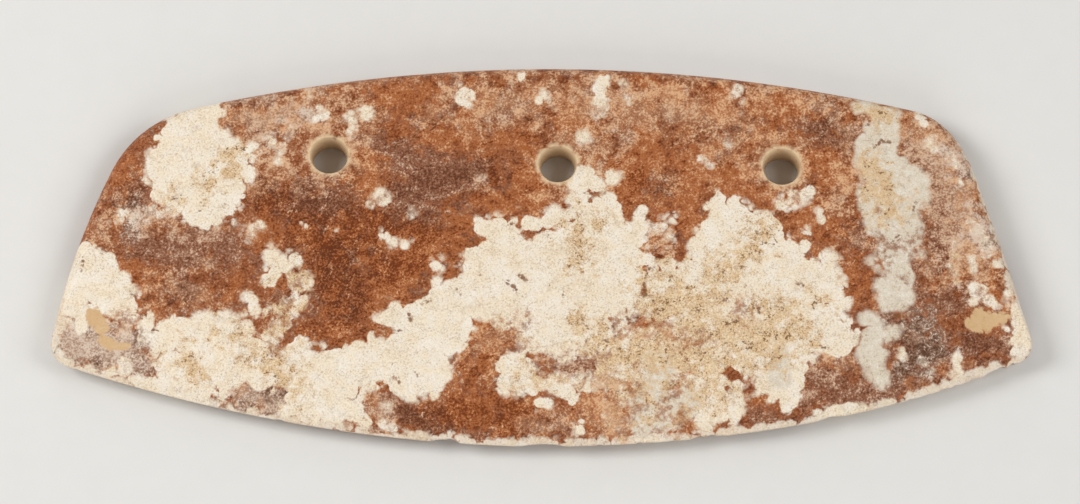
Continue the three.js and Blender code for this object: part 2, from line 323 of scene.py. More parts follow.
        ((73, -16.8, 1.6), (75.4, -18, 2.8), (73.8, -22.6, 3.4), (74.6, -27.5, 2), (75.6, -31, 1)),
        ((26, -27, 3.5), (24.5, -36, 3)), ((22, -34, 2.4), (22.6, -41, 2.4)),
        ((32, -35, 3), (27.5, -41, 2)), ((53, -24, 1.5), (53, -30, 2)),
        *spots((77.8, -18, 2), (75.4, -4, 2.2), (83.2, -1.4, 2.2), (77, 9.5, 2.4)),
    ),
    Layer.OCHRE: (
        ((-76, 16.5, 1), (-69.5, 20.5, 1.6), (-70, 24, 0.8)), ((-57, -14, 3.4), (-58, -18, 3)),
        ((-66, -24, 1.2), (-60, -26, 2.6), (-57, -31, 2.6)), ((-80, -25, 1.5), (-77, -28, 1.5)),
        ((-72, -20, 0.8), (-66, -20, 0.8)), ((8.3, 8, 1.2), (8, 1, 1.6), (7.5, -4, 1)),
        ((24, -7, 2.6), (27, -14, 4.5), (31, -12, 5), (38, -13, 4.5)),
        ((38, -6, 2.4), (44, -4, 2.6), (49, 3, 2.4), (51, 7.5, 1.4)),
        ((35, -18, 5), (44, -20, 5.5), (51, -22, 5)), ((14, -25, 4), (28, -23, 5.5), (37, -26, 5)),
        ((16, -30, 3.4), (17, -34, 3.4), (17, -41, 2.5)), ((22, -31, 2.4), (23, -36, 1.6)),
        ((29, -32, 2.4), (34, -33, 2.6), (40, -33, 2.4)), ((26, -4, 1.6), (29, -5.6, 1.8)),
        ((-60, -33, 1.5), (-57, -36, 1.5)), ((51, -13, 2.5), (55, -17, 4), (58, -22, 3)),
        ((8, -17.5, 1.5), (14, -20, 2.2)), ((60, -12, 0.8), (63, -13, 0.8)),
        ((-5, -30, 0.8), (5, -30, 0.5)), ((73.6, 20, 3.4), (76, 15, 4.4), (78, 10, 3)),
        ((38, -30, 2.5), (44, -26, 3), (47, -23, 2.5)), ((73.5, 33, 2.2), (79, 33, 1.8)),
        ((93, 0, 1.2), (93, -6, 1.2)), ((-10, -20, 2), (-6, -21.5, 1.5)),
        *spots((-83, 12, 0.6), (-54.4, -7.2, 2.4), (12, 7, 0.6), (31, -39.6, 2)),
    ),
    Layer.VEIL: (
        ((-70, 31, 4), (-62, 32, 5), (-52, 33, 5)), ((-64, 26, 2.5), (-60, 20, 3), (-56, 17, 2)),
        ((-44, 27, 3), (-40, 30, 3)), ((62, -27, 2), (68, -26.5, 2)), ((-42, 24, 2.5), (-41, 20, 1.5)),
        ((86, 18, 2.5), (89, 8, 2.5)), ((11.4, 21.6, 2.6), (13.4, 16, 1.4)),
        ((-22, 38, 1), (-12, 35, 5), (5, 36, 4.5), (18, 34, 6), (34, 33, 5), (44, 32, 4)),
        ((3, 28, 2), (10, 25, 3), (20, 27, 2.5)), ((36, 22, 2), (43, 27, 2.5), (52, 28, 2), (58, 23, 2)),
        ((44, 20, 1.5), (48, 20, 3)), ((60, 36, 2.5), (68, 33, 1.5), (70, 24, 2.2), (67, 12, 2.5)),
        ((-98, 9, 2), (-90, 8, 2), (-84, 8, 2)), ((-101, 3, 2), (-99.5, 8, 1.5)),
        ((-87, -8, 2), (-75, -11, 2)), ((-102, -22, 6), (-92, -25, 5)), ((-66, -34, 4), (-60, -36, 4)),
        ((14, -31, 4), (14, -36, 5), (15, -41, 5)), ((4, -27, 2), (10, -26, 1.5), (13, -28, 2)),
        ((84, 29, 5), (91, 23, 6), (92, 12, 6), (96, 3, 6), (97, -4, 4)), ((87, 0, 2), (87, -6, 2)),
        ((-66, 15, 2), (-62, 18, 2.5)), ((-5, -41, 2), (7, -41, 2)), ((41.5, 22, 1.5), (48, 21, 2)),
        ((-12, -20, 3), (-8, -21, 3)),
        *spots(
            (-46, 36, 3), (50, 36.6, 2.5), (-15, 29, 2.5), (9.6, 22, 1.6), (1, 13, 2), (-77, -3, 2),
            (-37, -37, 3), (27, 1.4, 2.4), (-13.6, 17.4, 1), (29, 17, 1.2), (3.7, 20.6, 5.2),
            (54.4, 20, 5.8), (-48, 22.7, 5.6),
        ),
    ),
    Layer.BLOOM: (
        ((-66, 31, 2.5), (-58, 33, 3), (-49, 33, 2)), ((-62, 24, 1.5), (-58, 20, 1.5)),
        ((-52, 28, 1.5), (-43, 25, 1)), ((-103, -22, 5), (-95, -25, 4)), ((-66, -34, 2), (-61, -36, 2)),
        ((8, 37, 1.5), (20, 36, 1.5)), ((30, 34, 1), (35, 33, 1)), ((-14, 31, 1.5), (-9, 35, 1.5)),
        ((10.4, 22, 1.8), (12.6, 20.6, 1.4)),
        # Painted highlight: a thin pale line along the butt's rim, where its rounded edge would catch the
        # light.
        ((-60, 38.4, 0.6), (-30, 42, 0.6), (0, 43.6, 0.6), (30, 42, 0.6), (60, 38, 0.8), (68, 36.4, 0.8)),
        ((70, 22, 1), (68, 12, 1)), ((84, 27, 2), (87, 21, 1.6)),
        ((97, 14, 2.5), (100, 6, 3), (102, -2, 2)), ((88, 16, 1.5), (89, 8, 1.5)),
        ((86, 13, 2.5), (95, 17, 2)), ((-90, 4, 1), (-74, 4, 1)),
        ((86, 30, 2), (90, 26, 3.4), (94, 20, 4), (95, 12, 4), (98, 4, 4.4), (97, -2, 4)),
        ((88, 14, 1), (91, 5, 1.5)), ((92, -1, 2), (92.5, -6, 1.5)), ((26, 38, 2), (30, 34, 1.5)),
        ((-26, 33, 2), (-20, 32, 1.5)), ((-97, 7, 1.5), (-92, 8, 2), (-84, 7.5, 1.5)),
        ((80, -31, 1), (92, -28, 1)),
        *spots(
            (26.6, 1, 1.4), (-64, 17, 1.2), (93, -5, 3), (80, -18, 1.5), (-45.4, 35, 1.6), (13, -32, 1.5),
            (90, 0, 1.5), (104, -9, 1.5), (-46, 31, 3), (-65, 26, 2.6), (-15, -24.6, 1.2), (71, 3, 1.5),
            (62, -27, 1), (60.4, 20, 1.2), (85, 19, 2), (82, -20, 1.5), (46.6, 35, 1.5), (53, 35, 1.2),
            (2, 32, 1), (15, 29, 1), (82.6, 27, 1.5), (59, -34, 1.2), (-48, 22.7, 6.2), (-101.5, 4, 1),
            (72, 33, 2),
        ),
    ),
    Layer.DARK: (
        ((-66, 13, 2), (-56, 12, 4.5), (-48, 8, 5), (-36, 5, 4), (-26, 5, 3)),
        ((-49, 2, 5), (-45, -8, 6), (-43.5, -14, 4)), ((-36, -4, 4), (-30, -3, 3)),
        ((-34, 14, 1), (-24, 17, 2), (-12, 20, 1)), ((-64, 10, 1), (-57, 8, 2.5), (-54, 3, 2.5)),
        ((-56, -4, 1.5), (-54, -12, 1)), ((-57, 3, 1.5), (-55, -3, 1.5)),
        ((-28, -38.5, 2.5), (-14, -38.5, 3), (-2, -39, 2.5)), ((80, -21, 2), (86, -23, 2.5), (81, -29, 2)),
        ((94, -19, 1.5), (98, -22, 2)), ((-65, -34, 1.5), (-59, -35.5, 1.5)),
        *spots(
            (22, 16, 1.5), (-51, -19, 2), (-98, 9, 1), (20, 11, 1.2), (-58, -36.6, 1), (-94, 12, 2.5),
            (-80, -10, 2.5), (65, 29, 2.5),
        ),
    ),
    Layer.SMOKE: (
        ((82, -17, 3), (87, -22, 4), (82, -28, 3)), ((-66, -34, 4), (-58, -36, 4)),
        ((-104, -22, 6), (-92, -25, 5)), ((-58, 33, 0.2), (-51, 32, 0.2)),
        ((92, 24, 1), (97, 12, 1), (100, 2, 1)),
        *spots((-92, 8, 2.5)),
    ),
    Layer.PURPLE: (
        ((-90, 2, 4), (-80, 1, 4), (-70, 1, 3)), ((-64, 30, 3), (-66, 35, 2)), ((-52, 11, 3), (-45, 13, 3)),
        ((-30, 11, 5), (-22, 18, 5.5), (-12, 19, 4)), ((-38, 26, 2.5), (-31, 23, 3.5), (-22, 23, 3)),
        ((62, 32, 4), (66, 27, 4)), ((-36, -37, 3), (-31, -38, 2)), ((5, -27, 2.5), (11, -26.5, 2)),
        ((62, -30, 4), (70, -31, 3)), ((88, 0, 3.5), (90, 13, 4.5), (88, 24, 4)),
        ((-104, -25, 3), (-95, -27, 2)), ((-6, -42, 2), (6, -42, 2.5)),
        ((-24, -41.6, 1.2), (-12, -43, 1.5)), ((58, -34, 3), (66, -34, 3)),
        ((80, -20, 5), (88, -24, 5), (80, -30, 4)), ((84, -10, 3), (92, -12, 2.5)),
        ((56, -36, 3), (76, -34, 3), (90, -28, 3)),
        *spots(
            (58, -37.5, 2.5), (48, -33.4, 1), (-93, 13, 3), (-80, -9, 3), (27, 13, 2.5), (98, -22, 4),
            (-89, -25, 3), (33, 38, 2.5), (-8, 33, 3), (30, 31, 2), (12, 33, 1.5), (70, 3, 2.5),
            (-25, 8.5, 3.4), (48, -38.5, 2.5), (103, -24, 2.5), (87, -4, 2.5),
        ),
    ),
    Layer.RUST: (
        ((-97, 18, 2.5), (-92, 26, 1.5)), ((-63, 4, 2), (-53, 5, 3)),
        ((-34, -8, 4), (-26, -1, 4), (-19, 4, 3.5)), ((-12, 11, 3), (-4, 12, 4), (-3, 22, 3), (-4, 29, 3)),
        ((-34, 37, 3), (-28, 36, 5)), ((-25, 27, 2), (-10, 26, 2.5)), ((20, 20, 3), (20, 11, 3)),
        ((33, 17, 4), (33, 6, 3)), ((25, 27, 3), (27, 22, 3)), ((42, 20, 3), (46, 13, 3)),
        ((57, 8, 3), (64, 4, 3)), ((70, -6, 2), (70, -11, 2.5)), ((-33, 4, 3), (-18, 1, 3)),
        ((26, 10, 2.5), (33, 10, 3)), ((-42, 6, 1.5), (-32, 6, 1.2)), ((-50, -19, 2), (-42, -20, 2)),
        ((62, 20, 3), (69, 20, 3)), ((46, 29, 2), (52, 27, 2), (52, 36, 3), (58, 34, 2)),
        ((40, 36, 2.5), (30, 37, 2)), ((24, 40, 2), (26, 37, 1.5)), ((16, -36, 3), (17, -41, 3)),
        ((4, 33, 2), (8, 30, 2)), ((-13, -21, 4), (-14, -27, 3)), ((-18, -38, 3), (-4, -38, 3)),
        ((10, -38, 3), (18, -38, 2)), ((-30, 0, 3), (-22, -1, 2)), ((23, -17.6, 2.5), (28, -18.5, 2)),
        *spots(
            (-40, 22, 2), (-40, 15, 2.5), (-3, 27, 3), (38, 23, 2.5), (48, 34, 2.5), (48, -34, 1.5),
            (-70, -9, 1.5), (-88, -8, 2), (31, -39.6, 2),
        ),
    ),
    Layer.DEPOSIT: (
        ((-100.5, -15.3, 1.7), (-98.7, -18.2, 1.6)),
        ((-98, -21, 1.1), (-96, -22.4, 1.2), (-92.5, -22.4, 0.8)), ((97, -17, 2), (99.5, -18, 1.4)),
        ((98, -14.5, 1), (99.5, -16.5, 2), (104, -15.9, 1.1)),
    ),
    Layer.WEAR_AND_HIGHLIGHT: (
        # Strokes up the sides: partly worn stone, partly a painted highlight on the lit rounded sides.
        ((-104, 0, 0.5), (-106.5, -9, 1.3), (-109, -19, 1.4), (-109.5, -23, 1)),
        ((109.5, -20, 1.1), (106.5, -11, 0.8), (103, 2, 0.8), (99, 16, 0.6), (95, 27, 0.5)),
        ((58, -40.6, 1), (68, -38.8, 1.3), (80, -36.2, 1.4), (92, -31.8, 1.5), (103, -27.2, 1)),
        ((-100, -29, 1), (-90, -32.6, 1), (-80, -35.6, 1)), ((-107.8, -15, 1.4), (-108.6, -19, 1.4)),
        *spots((-109.5, -25, 2), (109.5, -24.6, 1.3)),
    ),
}


def chain_distance(places: np.ndarray, chain: Chain) -> np.ndarray:
    """Measures how far places are from a chain of discs, less than zero inside it.

    Args:
        places: Points in the plane, one row each, in millimetres.
        chain: The discs, joined in order into one tapering stroke.

    Returns:
        The distance of each place from the edge of the stroke.
    """
    discs = np.array(chain, dtype=float)
    if len(discs) == 1:
        return np.hypot(*(places - discs[0, :2]).T) - discs[0, 2]
    nearest = np.full(len(places), np.inf)
    for start, end in zip(discs[:-1], discs[1:]):
        along = end[:2] - start[:2]
        offset = places - start[:2]
        share = np.clip(offset @ along / (along @ along), 0.0, 1.0)
        radius = start[2] + share * (end[2] - start[2])
        nearest = np.minimum(nearest, np.hypot(*(offset - share[:, None] * along).T) - radius)
    return nearest


def linear_colour(colour: Rgb) -> Colour:
    """Turns a screen colour into the linear colour that a shader socket takes.

    Args:
        colour: Red, green and blue, each up to 255.

    Returns:
        The linear colour, opaque.
    """
    shares = np.array(colour) / 255
    straight = shares / CURVE_SLOPE
    bent = ((shares + CURVE_OFFSET) / (1 + CURVE_OFFSET)) ** CURVE_POWER
    return (*np.where(shares <= CURVE_KNEE, straight, bent).tolist(), 1.0)


def mesh_places(mesh: bpy.types.Mesh) -> np.ndarray:
    """Reads where the vertices of a mesh are.

    Args:
        mesh: The mesh, in metres.

    Returns:
        One row for each vertex, in millimetres.
    """
    places = np.empty(len(mesh.vertices) * 3)
    mesh.vertices.foreach_get("co", places)
    return places.reshape(-1, 3) / MM


def linked_object(name: str, data: bpy.types.ID) -> bpy.types.Object:
    """Makes an object at the origin and links it into the scene.

    Args:
        name: Name of the object.
        data: Its mesh, light or camera.

    Returns:
        The object.
    """
    made = bpy.data.objects.new(name, data)
    bpy.context.scene.collection.objects.link(made)
    return made


def looking(direction: Vector) -> Euler:
    """The turn of a light or a camera that looks in a direction."""
    return direction.to_track_quat("-Z", "Y").to_euler()


@dataclass(frozen=True)
class EdgeProfile:
    """How the blade thins towards its rim, in millimetres."""

    rounding: float = 3.0
    tip_reach: float = 0.4
    tip_half: float = 0.45
    bevel_reach: float = 2.2
    bevel_half: float = 1.6
    taper_reach: float = 24.0
    blend: float = 0.4

    def rounded(self, distance: np.ndarray, half: float) -> np.ndarray:
        """Half the thickness at a distance from the butt or a side."""
        short = np.clip(1 - distance / self.rounding, 0, 1)
        return half * np.sqrt(1 - short**2)

    def ground(self, distance: np.ndarray, half: float) -> np.ndarray:
        """Works out the blunt tip, the bevel behind it and the long taper.

        Args:
            distance: Distances from the cutting edge.
            half: Half the thickness of the flat middle.

        Returns:
            Half the thickness at each distance.
        """
        short = np.clip(1 - distance / self.tip_reach, 0, 1)
        tip = self.tip_half * np.sqrt(1 - short**2)
        bevel_share = (distance - self.tip_reach) / (self.bevel_reach - self.tip_reach)
        bevel = self.tip_half + (self.bevel_half - self.tip_half) * bevel_share
        taper_share = np.clip((distance - self.bevel_reach) / (self.taper_reach - self.bevel_reach), 0, 1)
        taper = self.bevel_half + (half - self.bevel_half) * np.sin(taper_share * math.pi / 2)
        return np.where(distance < self.tip_reach, tip, np.where(distance < self.bevel_reach, bevel, taper))

    def half_thickness(self, side: np.ndarray, edge: np.ndarray, half: float) -> np.ndarray:
        """Blends the rounded sides into the ground cutting edge.

        Args:
            side: Distances from the butt and the sides.
            edge: Distances from the cutting edge.
            half: Half the thickness of the flat middle.

        Returns:
            Half the thickness of the blade at each place.
        """
        rounded, ground = self.rounded(side, half), self.ground(edge, half)
        share = np.clip(0.5 + 0.5 * (ground - rounded) / self.blend, 0, 1)
        blended = ground * (1 - share) + rounded * share - self.blend * share * (1 - share)
        return np.clip(blended, 0, half)


@dataclass(frozen=True)
class Nick:
    """A flake broken off the cutting edge: its place along the blade, its reach both ways and its depth."""

    x: float
    left: float
    right: float
    depth: float

    def bite(self, along: np.ndarray) -> np.ndarray:
        """Works out how far the flake sets the edge back.

        Args:
            along: Places along the blade.

        Returns:
            The setback at each place.
        """
        offset = along - self.x
        share = np.clip(np.abs(offset) / np.where(offset < 0, self.left, self.right), 0, 1)
        return self.depth * np.sqrt(1 - share**2)


@dataclass
class Outline:
    """The rim of the blade as a closed loop, running left round seen from above, in millimetres."""

    points: np.ndarray
    cutting: np.ndarray
    trees: dict[bool, KDTree] = field(default_factory=dict)

    # How far from half way up the solid a rim point may lie, the digits by which points are told apart, and
    # the steps of the smooth curve between two of them.
    RIM_BAND = 0.01
    RIM_DIGITS = 3
    CURVE_STEPS = 12

    @classmethod
    def from_node(
        cls, node: str, holes: np.ndarray, hole_reach: float, spacing: float, toe_y: float
    ) -> "Outline":
        """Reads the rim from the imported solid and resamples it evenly.

        Args:
            node: Name of the solid, whose rim lies half way up its thickness.
            holes: Centres of the lashing holes.
            hole_reach: Radius about each centre within which a point belongs to the hole.
            spacing: Distance between the new points.
            toe_y: Rim points lower than this across the blade are on the cutting edge.

        Returns:
            The outline.
        """
        places = mesh_places(frame["nodes"][node].data)
        middle = (places[:, 2].min() + places[:, 2].max()) / 2
        near = np.abs(places[:, 2] - middle) < cls.RIM_BAND
        rim = np.unique(places[near, :2].round(cls.RIM_DIGITS), axis=0)
        for hole in holes:
            rim = rim[np.hypot(*(rim - hole).T) > hole_reach]
        rim = rim[np.argsort(np.arctan2(rim[:, 1], rim[:, 0]))]
        points = cls._evenly(rim, spacing)
        return cls(points, points[:, 1] < toe_y)

    @classmethod
    def _evenly(cls, loop: np.ndarray, spacing: float) -> np.ndarray:
        """Runs a smooth curve through a closed loop and spaces new points along it.

        Args:
            loop: The points of the loop, in order.
            spacing: Distance between the new points.

        Returns:
            The new points.
        """
        before, after, beyond = np.roll(loop, 1, 0), np.roll(loop, -1, 0), np.roll(loop, -2, 0)
        steps = np.linspace(0, 1, cls.CURVE_STEPS, endpoint=False)[:, None, None]
        curve = 0.5 * (
            2 * loop
            + (after - before) * steps
            + (2 * before - 5 * loop + 4 * after - beyond) * steps**2
            + (3 * loop - before - 3 * after + beyond) * steps**3
        )
        curve = curve.transpose(1, 0, 2).reshape(-1, 2)
        closed = np.vstack([curve, curve[:1]])
        travelled = np.concatenate([[0], np.cumsum(np.hypot(*np.diff(closed, axis=0).T))])
        count = round(travelled[-1] / spacing)
        wanted = np.linspace(0, travelled[-1], count, endpoint=False)
        return np.column_stack([np.interp(wanted, travelled, closed[:, axis]) for axis in range(2)])

    def break_off(self, nicks: tuple[Nick, ...]) -> None:
        """Sets the cutting edge back where flakes broke off it."""
        bites = np.max([nick.bite(self.points[:, 0]) for nick in nicks], axis=0)
        self.points += self.inward() * (bites * self.cutting)[:, None]

    def inward(self) -> np.ndarray:
        """Works out the direction into the blade at each point of the rim.

        Returns:
            One unit vector for each point.
        """
        along = np.roll(self.points, -1, 0) - np.roll(self.points, 1, 0)
        along /= np.hypot(*along.T)[:, None]
        return np.column_stack([-along[:, 1], along[:, 0]])

    def inside(self, places: np.ndarray) -> np.ndarray:
        """Tells which places lie inside the rim, by the rim's radius in their direction.

        Args:
            places: Points in the plane, one row each.

        Returns:
            Whether each place is inside.
        """
        turn = np.arctan2(self.points[:, 1], self.points[:, 0])
        order = np.argsort(turn)
        radii = np.hypot(*self.points[order].T)
        bearing = np.arctan2(places[:, 1], places[:, 0])
        return np.hypot(*places.T) < np.interp(bearing, turn[order], radii, period=2 * math.pi)

    def nearest(self, places: np.ndarray) -> np.ndarray:
        """How far places are from the whole rim."""
        return np.minimum(self.distance(places, True), self.distance(places, False))

    def distance(self, places: np.ndarray, cutting: bool) -> np.ndarray:
        """Measures how far places are from the cutting edge, or from the rest of the rim.

        Args:
            places: Points in the plane, one row each.
            cutting: Whether the cutting edge is meant.

        Returns:
            The shortest distance of each place.
        """
        tree = self._tree(cutting)
        nearest = np.array([tree.find((x, y, 0))[1] for x, y in places])
        found = np.full(len(places), np.inf)
        for neighbour in (-1, 1):
            start = self.points[nearest]
            along = self.points[(nearest + neighbour) % len(self.points)] - start
            offset = places - start
            share = np.einsum("ij,ij->i", offset, along) / np.einsum("ij,ij->i", along, along)
            offset -= np.clip(share, 0, 1)[:, None] * along
            found = np.minimum(found, np.hypot(*offset.T))
        return found

    def _tree(self, cutting: bool) -> KDTree:
        """Sorts rim points for quick search, once for each part of the rim.

        Args:
            cutting: Whether the cutting edge is meant, or the rest of the rim.

        Returns:
            The sorted points, with their places in the loop.
        """
        if cutting not in self.trees:
            kept = np.flatnonzero(self.cutting == cutting)
            tree = KDTree(len(kept))
            for index in kept:
                tree.insert((*self.points[index], 0), int(index))
            tree.balance()
            self.trees[cutting] = tree
        return self.trees[cutting]


@dataclass
class LashingHole:
    """The wall of a drilled hole, flared and rounded towards both faces, in millimetres."""

    throat: float = 3.85
    mouth: float = 4.25
    lip: float = 0.5
    flare: float = 3.0
    sides: int = 96
    levels: int = 18
    lip_steps: int = 5
    ring_pitch: float = 0.8
    ring_depth: float = 0.03

    def profile(self, thickness: float) -> np.ndarray:
        """Works out the wall's section from the upper face down to the lower one.

        Args:
            thickness: Thickness of the blade at the hole.

        Returns:
            Radius and height of each level, one row each.
        """
        turn = np.linspace(0, math.pi / 2, self.lip_steps, endpoint=False)
        lip_radius = self.mouth + self.lip * (1 - np.sin(turn))
        lip_height = thickness - self.lip * (1 - np.cos(turn))
        heights = np.linspace(thickness - self.lip, self.lip, self.levels)
        share = np.abs(heights - thickness / 2) / (thickness / 2 - self.lip)
        radii = self.throat + (self.mouth - self.throat) * share**self.flare
        radii += self.ring_depth * np.sin(2 * math.pi * heights / self.ring_pitch) * (1 - share)
        upper = np.column_stack([lip_radius, lip_height])
        lower = np.column_stack([lip_radius, thickness - lip_height])[::-1]
        return np.vstack([upper, np.column_stack([radii, heights]), lower])

    @property
    def reach(self) -> float:
        """Radius of the hole's lip where it meets a face."""
        return self.mouth + self.lip

    def circle(self, centre: np.ndarray, radius: float) -> np.ndarray:
        """A ring of points about the hole's axis."""
        turn = np.linspace(0, 2 * math.pi, self.sides, endpoint=False)
        return centre + radius * np.column_stack([np.cos(turn), np.sin(turn)])


@dataclass
class MeshParts:
    """Vertices and triangles gathered piece by piece, in millimetres."""

    places: list[np.ndarray] = field(default_factory=list)
    triangles: list[np.ndarray] = field(default_factory=list)
    count: int = 0

    def add_places(self, places: np.ndarray) -> int:
        """Adds vertices.

        Args:
            places: One row for each vertex.

        Returns:
            The index of the first of them.
        """
        first = self.count
        self.places.append(places)
        self.count += len(places)
        return first

    def mesh(self, name: str) -> bpy.types.Mesh:
        """Makes a mesh in metres from the parts.

        Args:
            name: Name of the mesh.

        Returns:
            The mesh, shaded smooth.
        """
        made = bpy.data.meshes.new(name)
        places = np.vstack(self.places) * MM
        made.from_pydata(places.tolist(), [], np.vstack(self.triangles).tolist())
        made.polygons.foreach_set("use_smooth", np.ones(len(made.polygons), dtype=bool))
        made.update()
        return made


@dataclass
class StoneBlade:
    """The ground stone blade: its two faces, its rim and its lashing holes, in millimetres."""

    node: str = "stone_blade"
    name: str = "ground_stone_blade"
    edge: EdgeProfile = field(default_factory=EdgeProfile)
    hole: LashingHole = field(default_factory=LashingHole)
    toe_y: float = -25.0

    # How close the points of the mesh lie, how far they are nudged, and what merges two of them.
    upper_spacing: float = 0.62
    under_spacing: float = 0.95
    rim_spacing: float = 0.4
    rim_turns: int = 9
    jitter: float = 0.14
    seed: int = 7
    merge_reach: float = 1e-5

    # Room along the rim and about the holes: the share of its inset that a rim ring keeps, the hole radii
    # within which a point belongs to a hole, and the rest in spacings.
    ring_share: float = 0.98
    hole_margin: float = 2.0
    collar_steps: tuple[float, ...] = (0.8, 1.7)
    hole_gap: float = 2.3
    rim_gap: float = 0.4

    # How the mottling leans as it runs down, how far and in what waves it drifts on its way to the underside,
    # how far its distances are kept, and how far in the cutting edge is worn.
    vein_lean: float = 0.325
    drift_along: float = 9.0
    drift_across: float = 6.0
    along_waves: tuple[float, float] = (41.0, 13.0)
    across_wave: float = 19.0
    across_phase: float = 1.0
    field_limit: float = 8.0
    wear_reach: float = 1.0

    nicks: tuple[Nick, ...] = (
        Nick(-58.0, 1.4, 0.5, 0.25),
        Nick(-20.0, 1.1, 1.3, 0.4),
        Nick(12.8, 0.6, 0.9, 0.2),
        Nick(21.8, 0.5, 0.7, 0.28),
        Nick(29.6, 0.9, 0.6, 0.15),
        Nick(34.8, 1.5, 0.9, 0.25),
        Nick(37.8, 0.6, 1.2, 0.22),
        Nick(40.4, 0.8, 0.5, 0.18),
        Nick(82.4, 0.7, 0.7, 0.15),
        Nick(90.2, 1.2, 0.5, 0.22),
        Nick(92.6, 0.6, 0.8, 0.18),
        Nick(96.4, 0.6, 1.5, 0.25),
        Nick(103.2, 0.9, 0.6, 0.28),
        Nick(105.4, 0.8, 0.5, 0.4),
    )

    def __post_init__(self) -> None:
        """Reads the blade's thickness, holes and rim from the frame."""
        low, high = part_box(self.node)
        self.thickness = (high.z - low.z) / MM
        boxes = [np.array(opening["box_m"]) for opening in frame["record"]["physics"]["openings"]]
        self.holes = np.array([box[:, :2].mean(axis=0) / MM for box in boxes])
        hole_reach = self.hole_margin * self.hole.reach
        self.outline = Outline.from_node(self.node, self.holes, hole_reach, self.rim_spacing, self.toe_y)
        self.outline.break_off(self.nicks)

    def build(self) -> bpy.types.Object:
        """Builds the blade's mesh with the stone's patches stored on it.

        Returns:
            The blade, in the row frame.
        """
        parts = MeshParts()
        profile = self.hole.profile(self.thickness)
        rim = self.outline.points
        rim_first = parts.add_places(np.column_stack([rim, np.full(len(rim), self.thickness / 2)]))
        upper_lips = self._add_face(parts, rim_first, 1, self.upper_spacing)
        lower_lips = self._add_face(parts, rim_first, -1, self.under_spacing)
        for upper, lower, centre in zip(upper_lips, lower_lips, self.holes):
            self._add_hole_wall(parts, profile, upper, lower, centre)
        mesh = parts.mesh(self.name)
        self._store_patches(mesh)
        log.info("%s: %d vertices, %d triangles", self.name, len(mesh.vertices), len(mesh.polygons))
        return linked_object(self.name, mesh)

    def _face_points(self, spacing: float) -> tuple[np.ndarray, list[tuple[int, int]]]:
        """Scatters the points of one face.

        Args:
            spacing: Distance between points in the middle of the face.

        Returns:
            The points, rim first and hole lips next, and the edges that the triangles must keep.
        """
        rim, inward = self.outline.points, self.outline.inward()
        loops = [rim, *(self.hole.circle(centre, self.hole.reach) for centre in self.holes)]
        kept_edges = []
        first = 0
        for loop in loops:
            kept_edges += [(first + i, first + (i + 1) % len(loop)) for i in range(len(loop))]
            first += len(loop)
        turn = np.linspace(0, math.pi / 2, self.rim_turns + 1)[1:]
        rings = []
        for inset in self.edge.rounding * (1 - np.cos(turn)):
            ring = rim + inset * inward
            rings.append(ring[self.outline.nearest(ring) > self.ring_share * inset])
        radii = [self.hole.reach + spacing * step for step in self.collar_steps]
        collars = [self.hole.circle(centre, radius) for centre in self.holes for radius in radii]
        grid = self._hexagon_grid(spacing)
        grid = grid[self.outline.nearest(grid) > self.edge.rounding + self.rim_gap * spacing]
        for centre in self.holes:
            grid = grid[np.hypot(*(grid - centre).T) > self.hole.reach + self.hole_gap * spacing]
        return np.vstack([*loops, *rings, *collars, grid]), kept_edges

    def _hexagon_grid(self, spacing: float) -> np.ndarray:
        """Lays points on a grid of equal triangles, each nudged a little so that no rows show.

        Args:
            spacing: Distance between points.

        Returns:
            The points that lie inside the rim.
        """
        low, high = self.outline.points.min(axis=0), self.outline.points.max(axis=0)
        rows = np.arange(low[1], high[1], spacing * math.sqrt(3) / 2)
        columns = np.arange(low[0], high[0], spacing)
        along, across = np.meshgrid(columns, rows)
        along = along + (np.arange(len(rows)) % 2)[:, None] * spacing / 2
        grid = np.column_stack([along.ravel(), across.ravel()])
        grid += np.random.default_rng(self.seed).uniform(-self.jitter, self.jitter, grid.shape) * spacing
        return grid[self.outline.inside(grid)]

    def _add_face(self, parts: MeshParts, rim_first: int, side: int, spacing: float) -> list[int]:
        """Adds one face of the blade, sharing the rim's vertices.

        Args:
            parts: The mesh so far.
            rim_first: Index of the rim's first vertex.
            side: 1 for the upper face, -1 for the lower one.
            spacing: Distance between points in the middle of the face.

        Returns:
            The index of the first vertex of each hole's lip.
        """
        points, kept_edges = self._face_points(spacing)
        made = delaunay_2d_cdt([Vector(point) for point in points], kept_edges, [], 0, self.merge_reach)
        flat = np.array([tuple(point) for point in made[0]])
        triangles = np.array(made[2])
        middles = flat[triangles].mean(axis=1)
        kept = self.outline.inside(middles)
        for centre in self.holes:
            kept &= np.hypot(*(middles - centre).T) > self.hole.reach * math.cos(math.pi / self.hole.sides)
        triangles = triangles[kept]
        from_side, from_edge = self.outline.distance(flat, False), self.outline.distance(flat, True)
        half = self.edge.half_thickness(from_side, from_edge, self.thickness / 2)
        rim_count = len(self.outline.points)
        height = self.thickness / 2 + side * half
        first = parts.add_places(np.column_stack([flat, height])[rim_count:])
        triangles = np.where(triangles < rim_count, triangles + rim_first, triangles + first - rim_count)
        parts.triangles.append(triangles if side > 0 else triangles[:, ::-1])
        return [first + i * self.hole.sides for i in range(len(self.holes))]

    def _add_hole_wall(
        self, parts: MeshParts, profile: np.ndarray, upper: int, lower: int, centre: np.ndarray
    ) -> None:
        """Adds the wall of one hole between the lips that the two faces left.

        Args:
            parts: The mesh so far.
            profile: Radius and height of each level of the wall, lips included.
            upper: Index of the upper lip's first vertex.
            lower: Index of the lower lip's first vertex.
            centre: Where the hole is.
        """
        sides = self.hole.sides
        firsts = [upper]
        for radius, height in profile[1:-1]:
            ring = self.hole.circle(centre, radius)
            firsts.append(parts.add_places(np.column_stack([ring, np.full(sides, height)])))
        firsts.append(lower)
        here = np.arange(sides)
        following = (here + 1) % sides
        for above, below in zip(firsts[:-1], firsts[1:]):
            parts.triangles.append(np.column_stack([above + here, below + following, below + here]))
            parts.triangles.append(np.column_stack([above + here, above + following, below + following]))

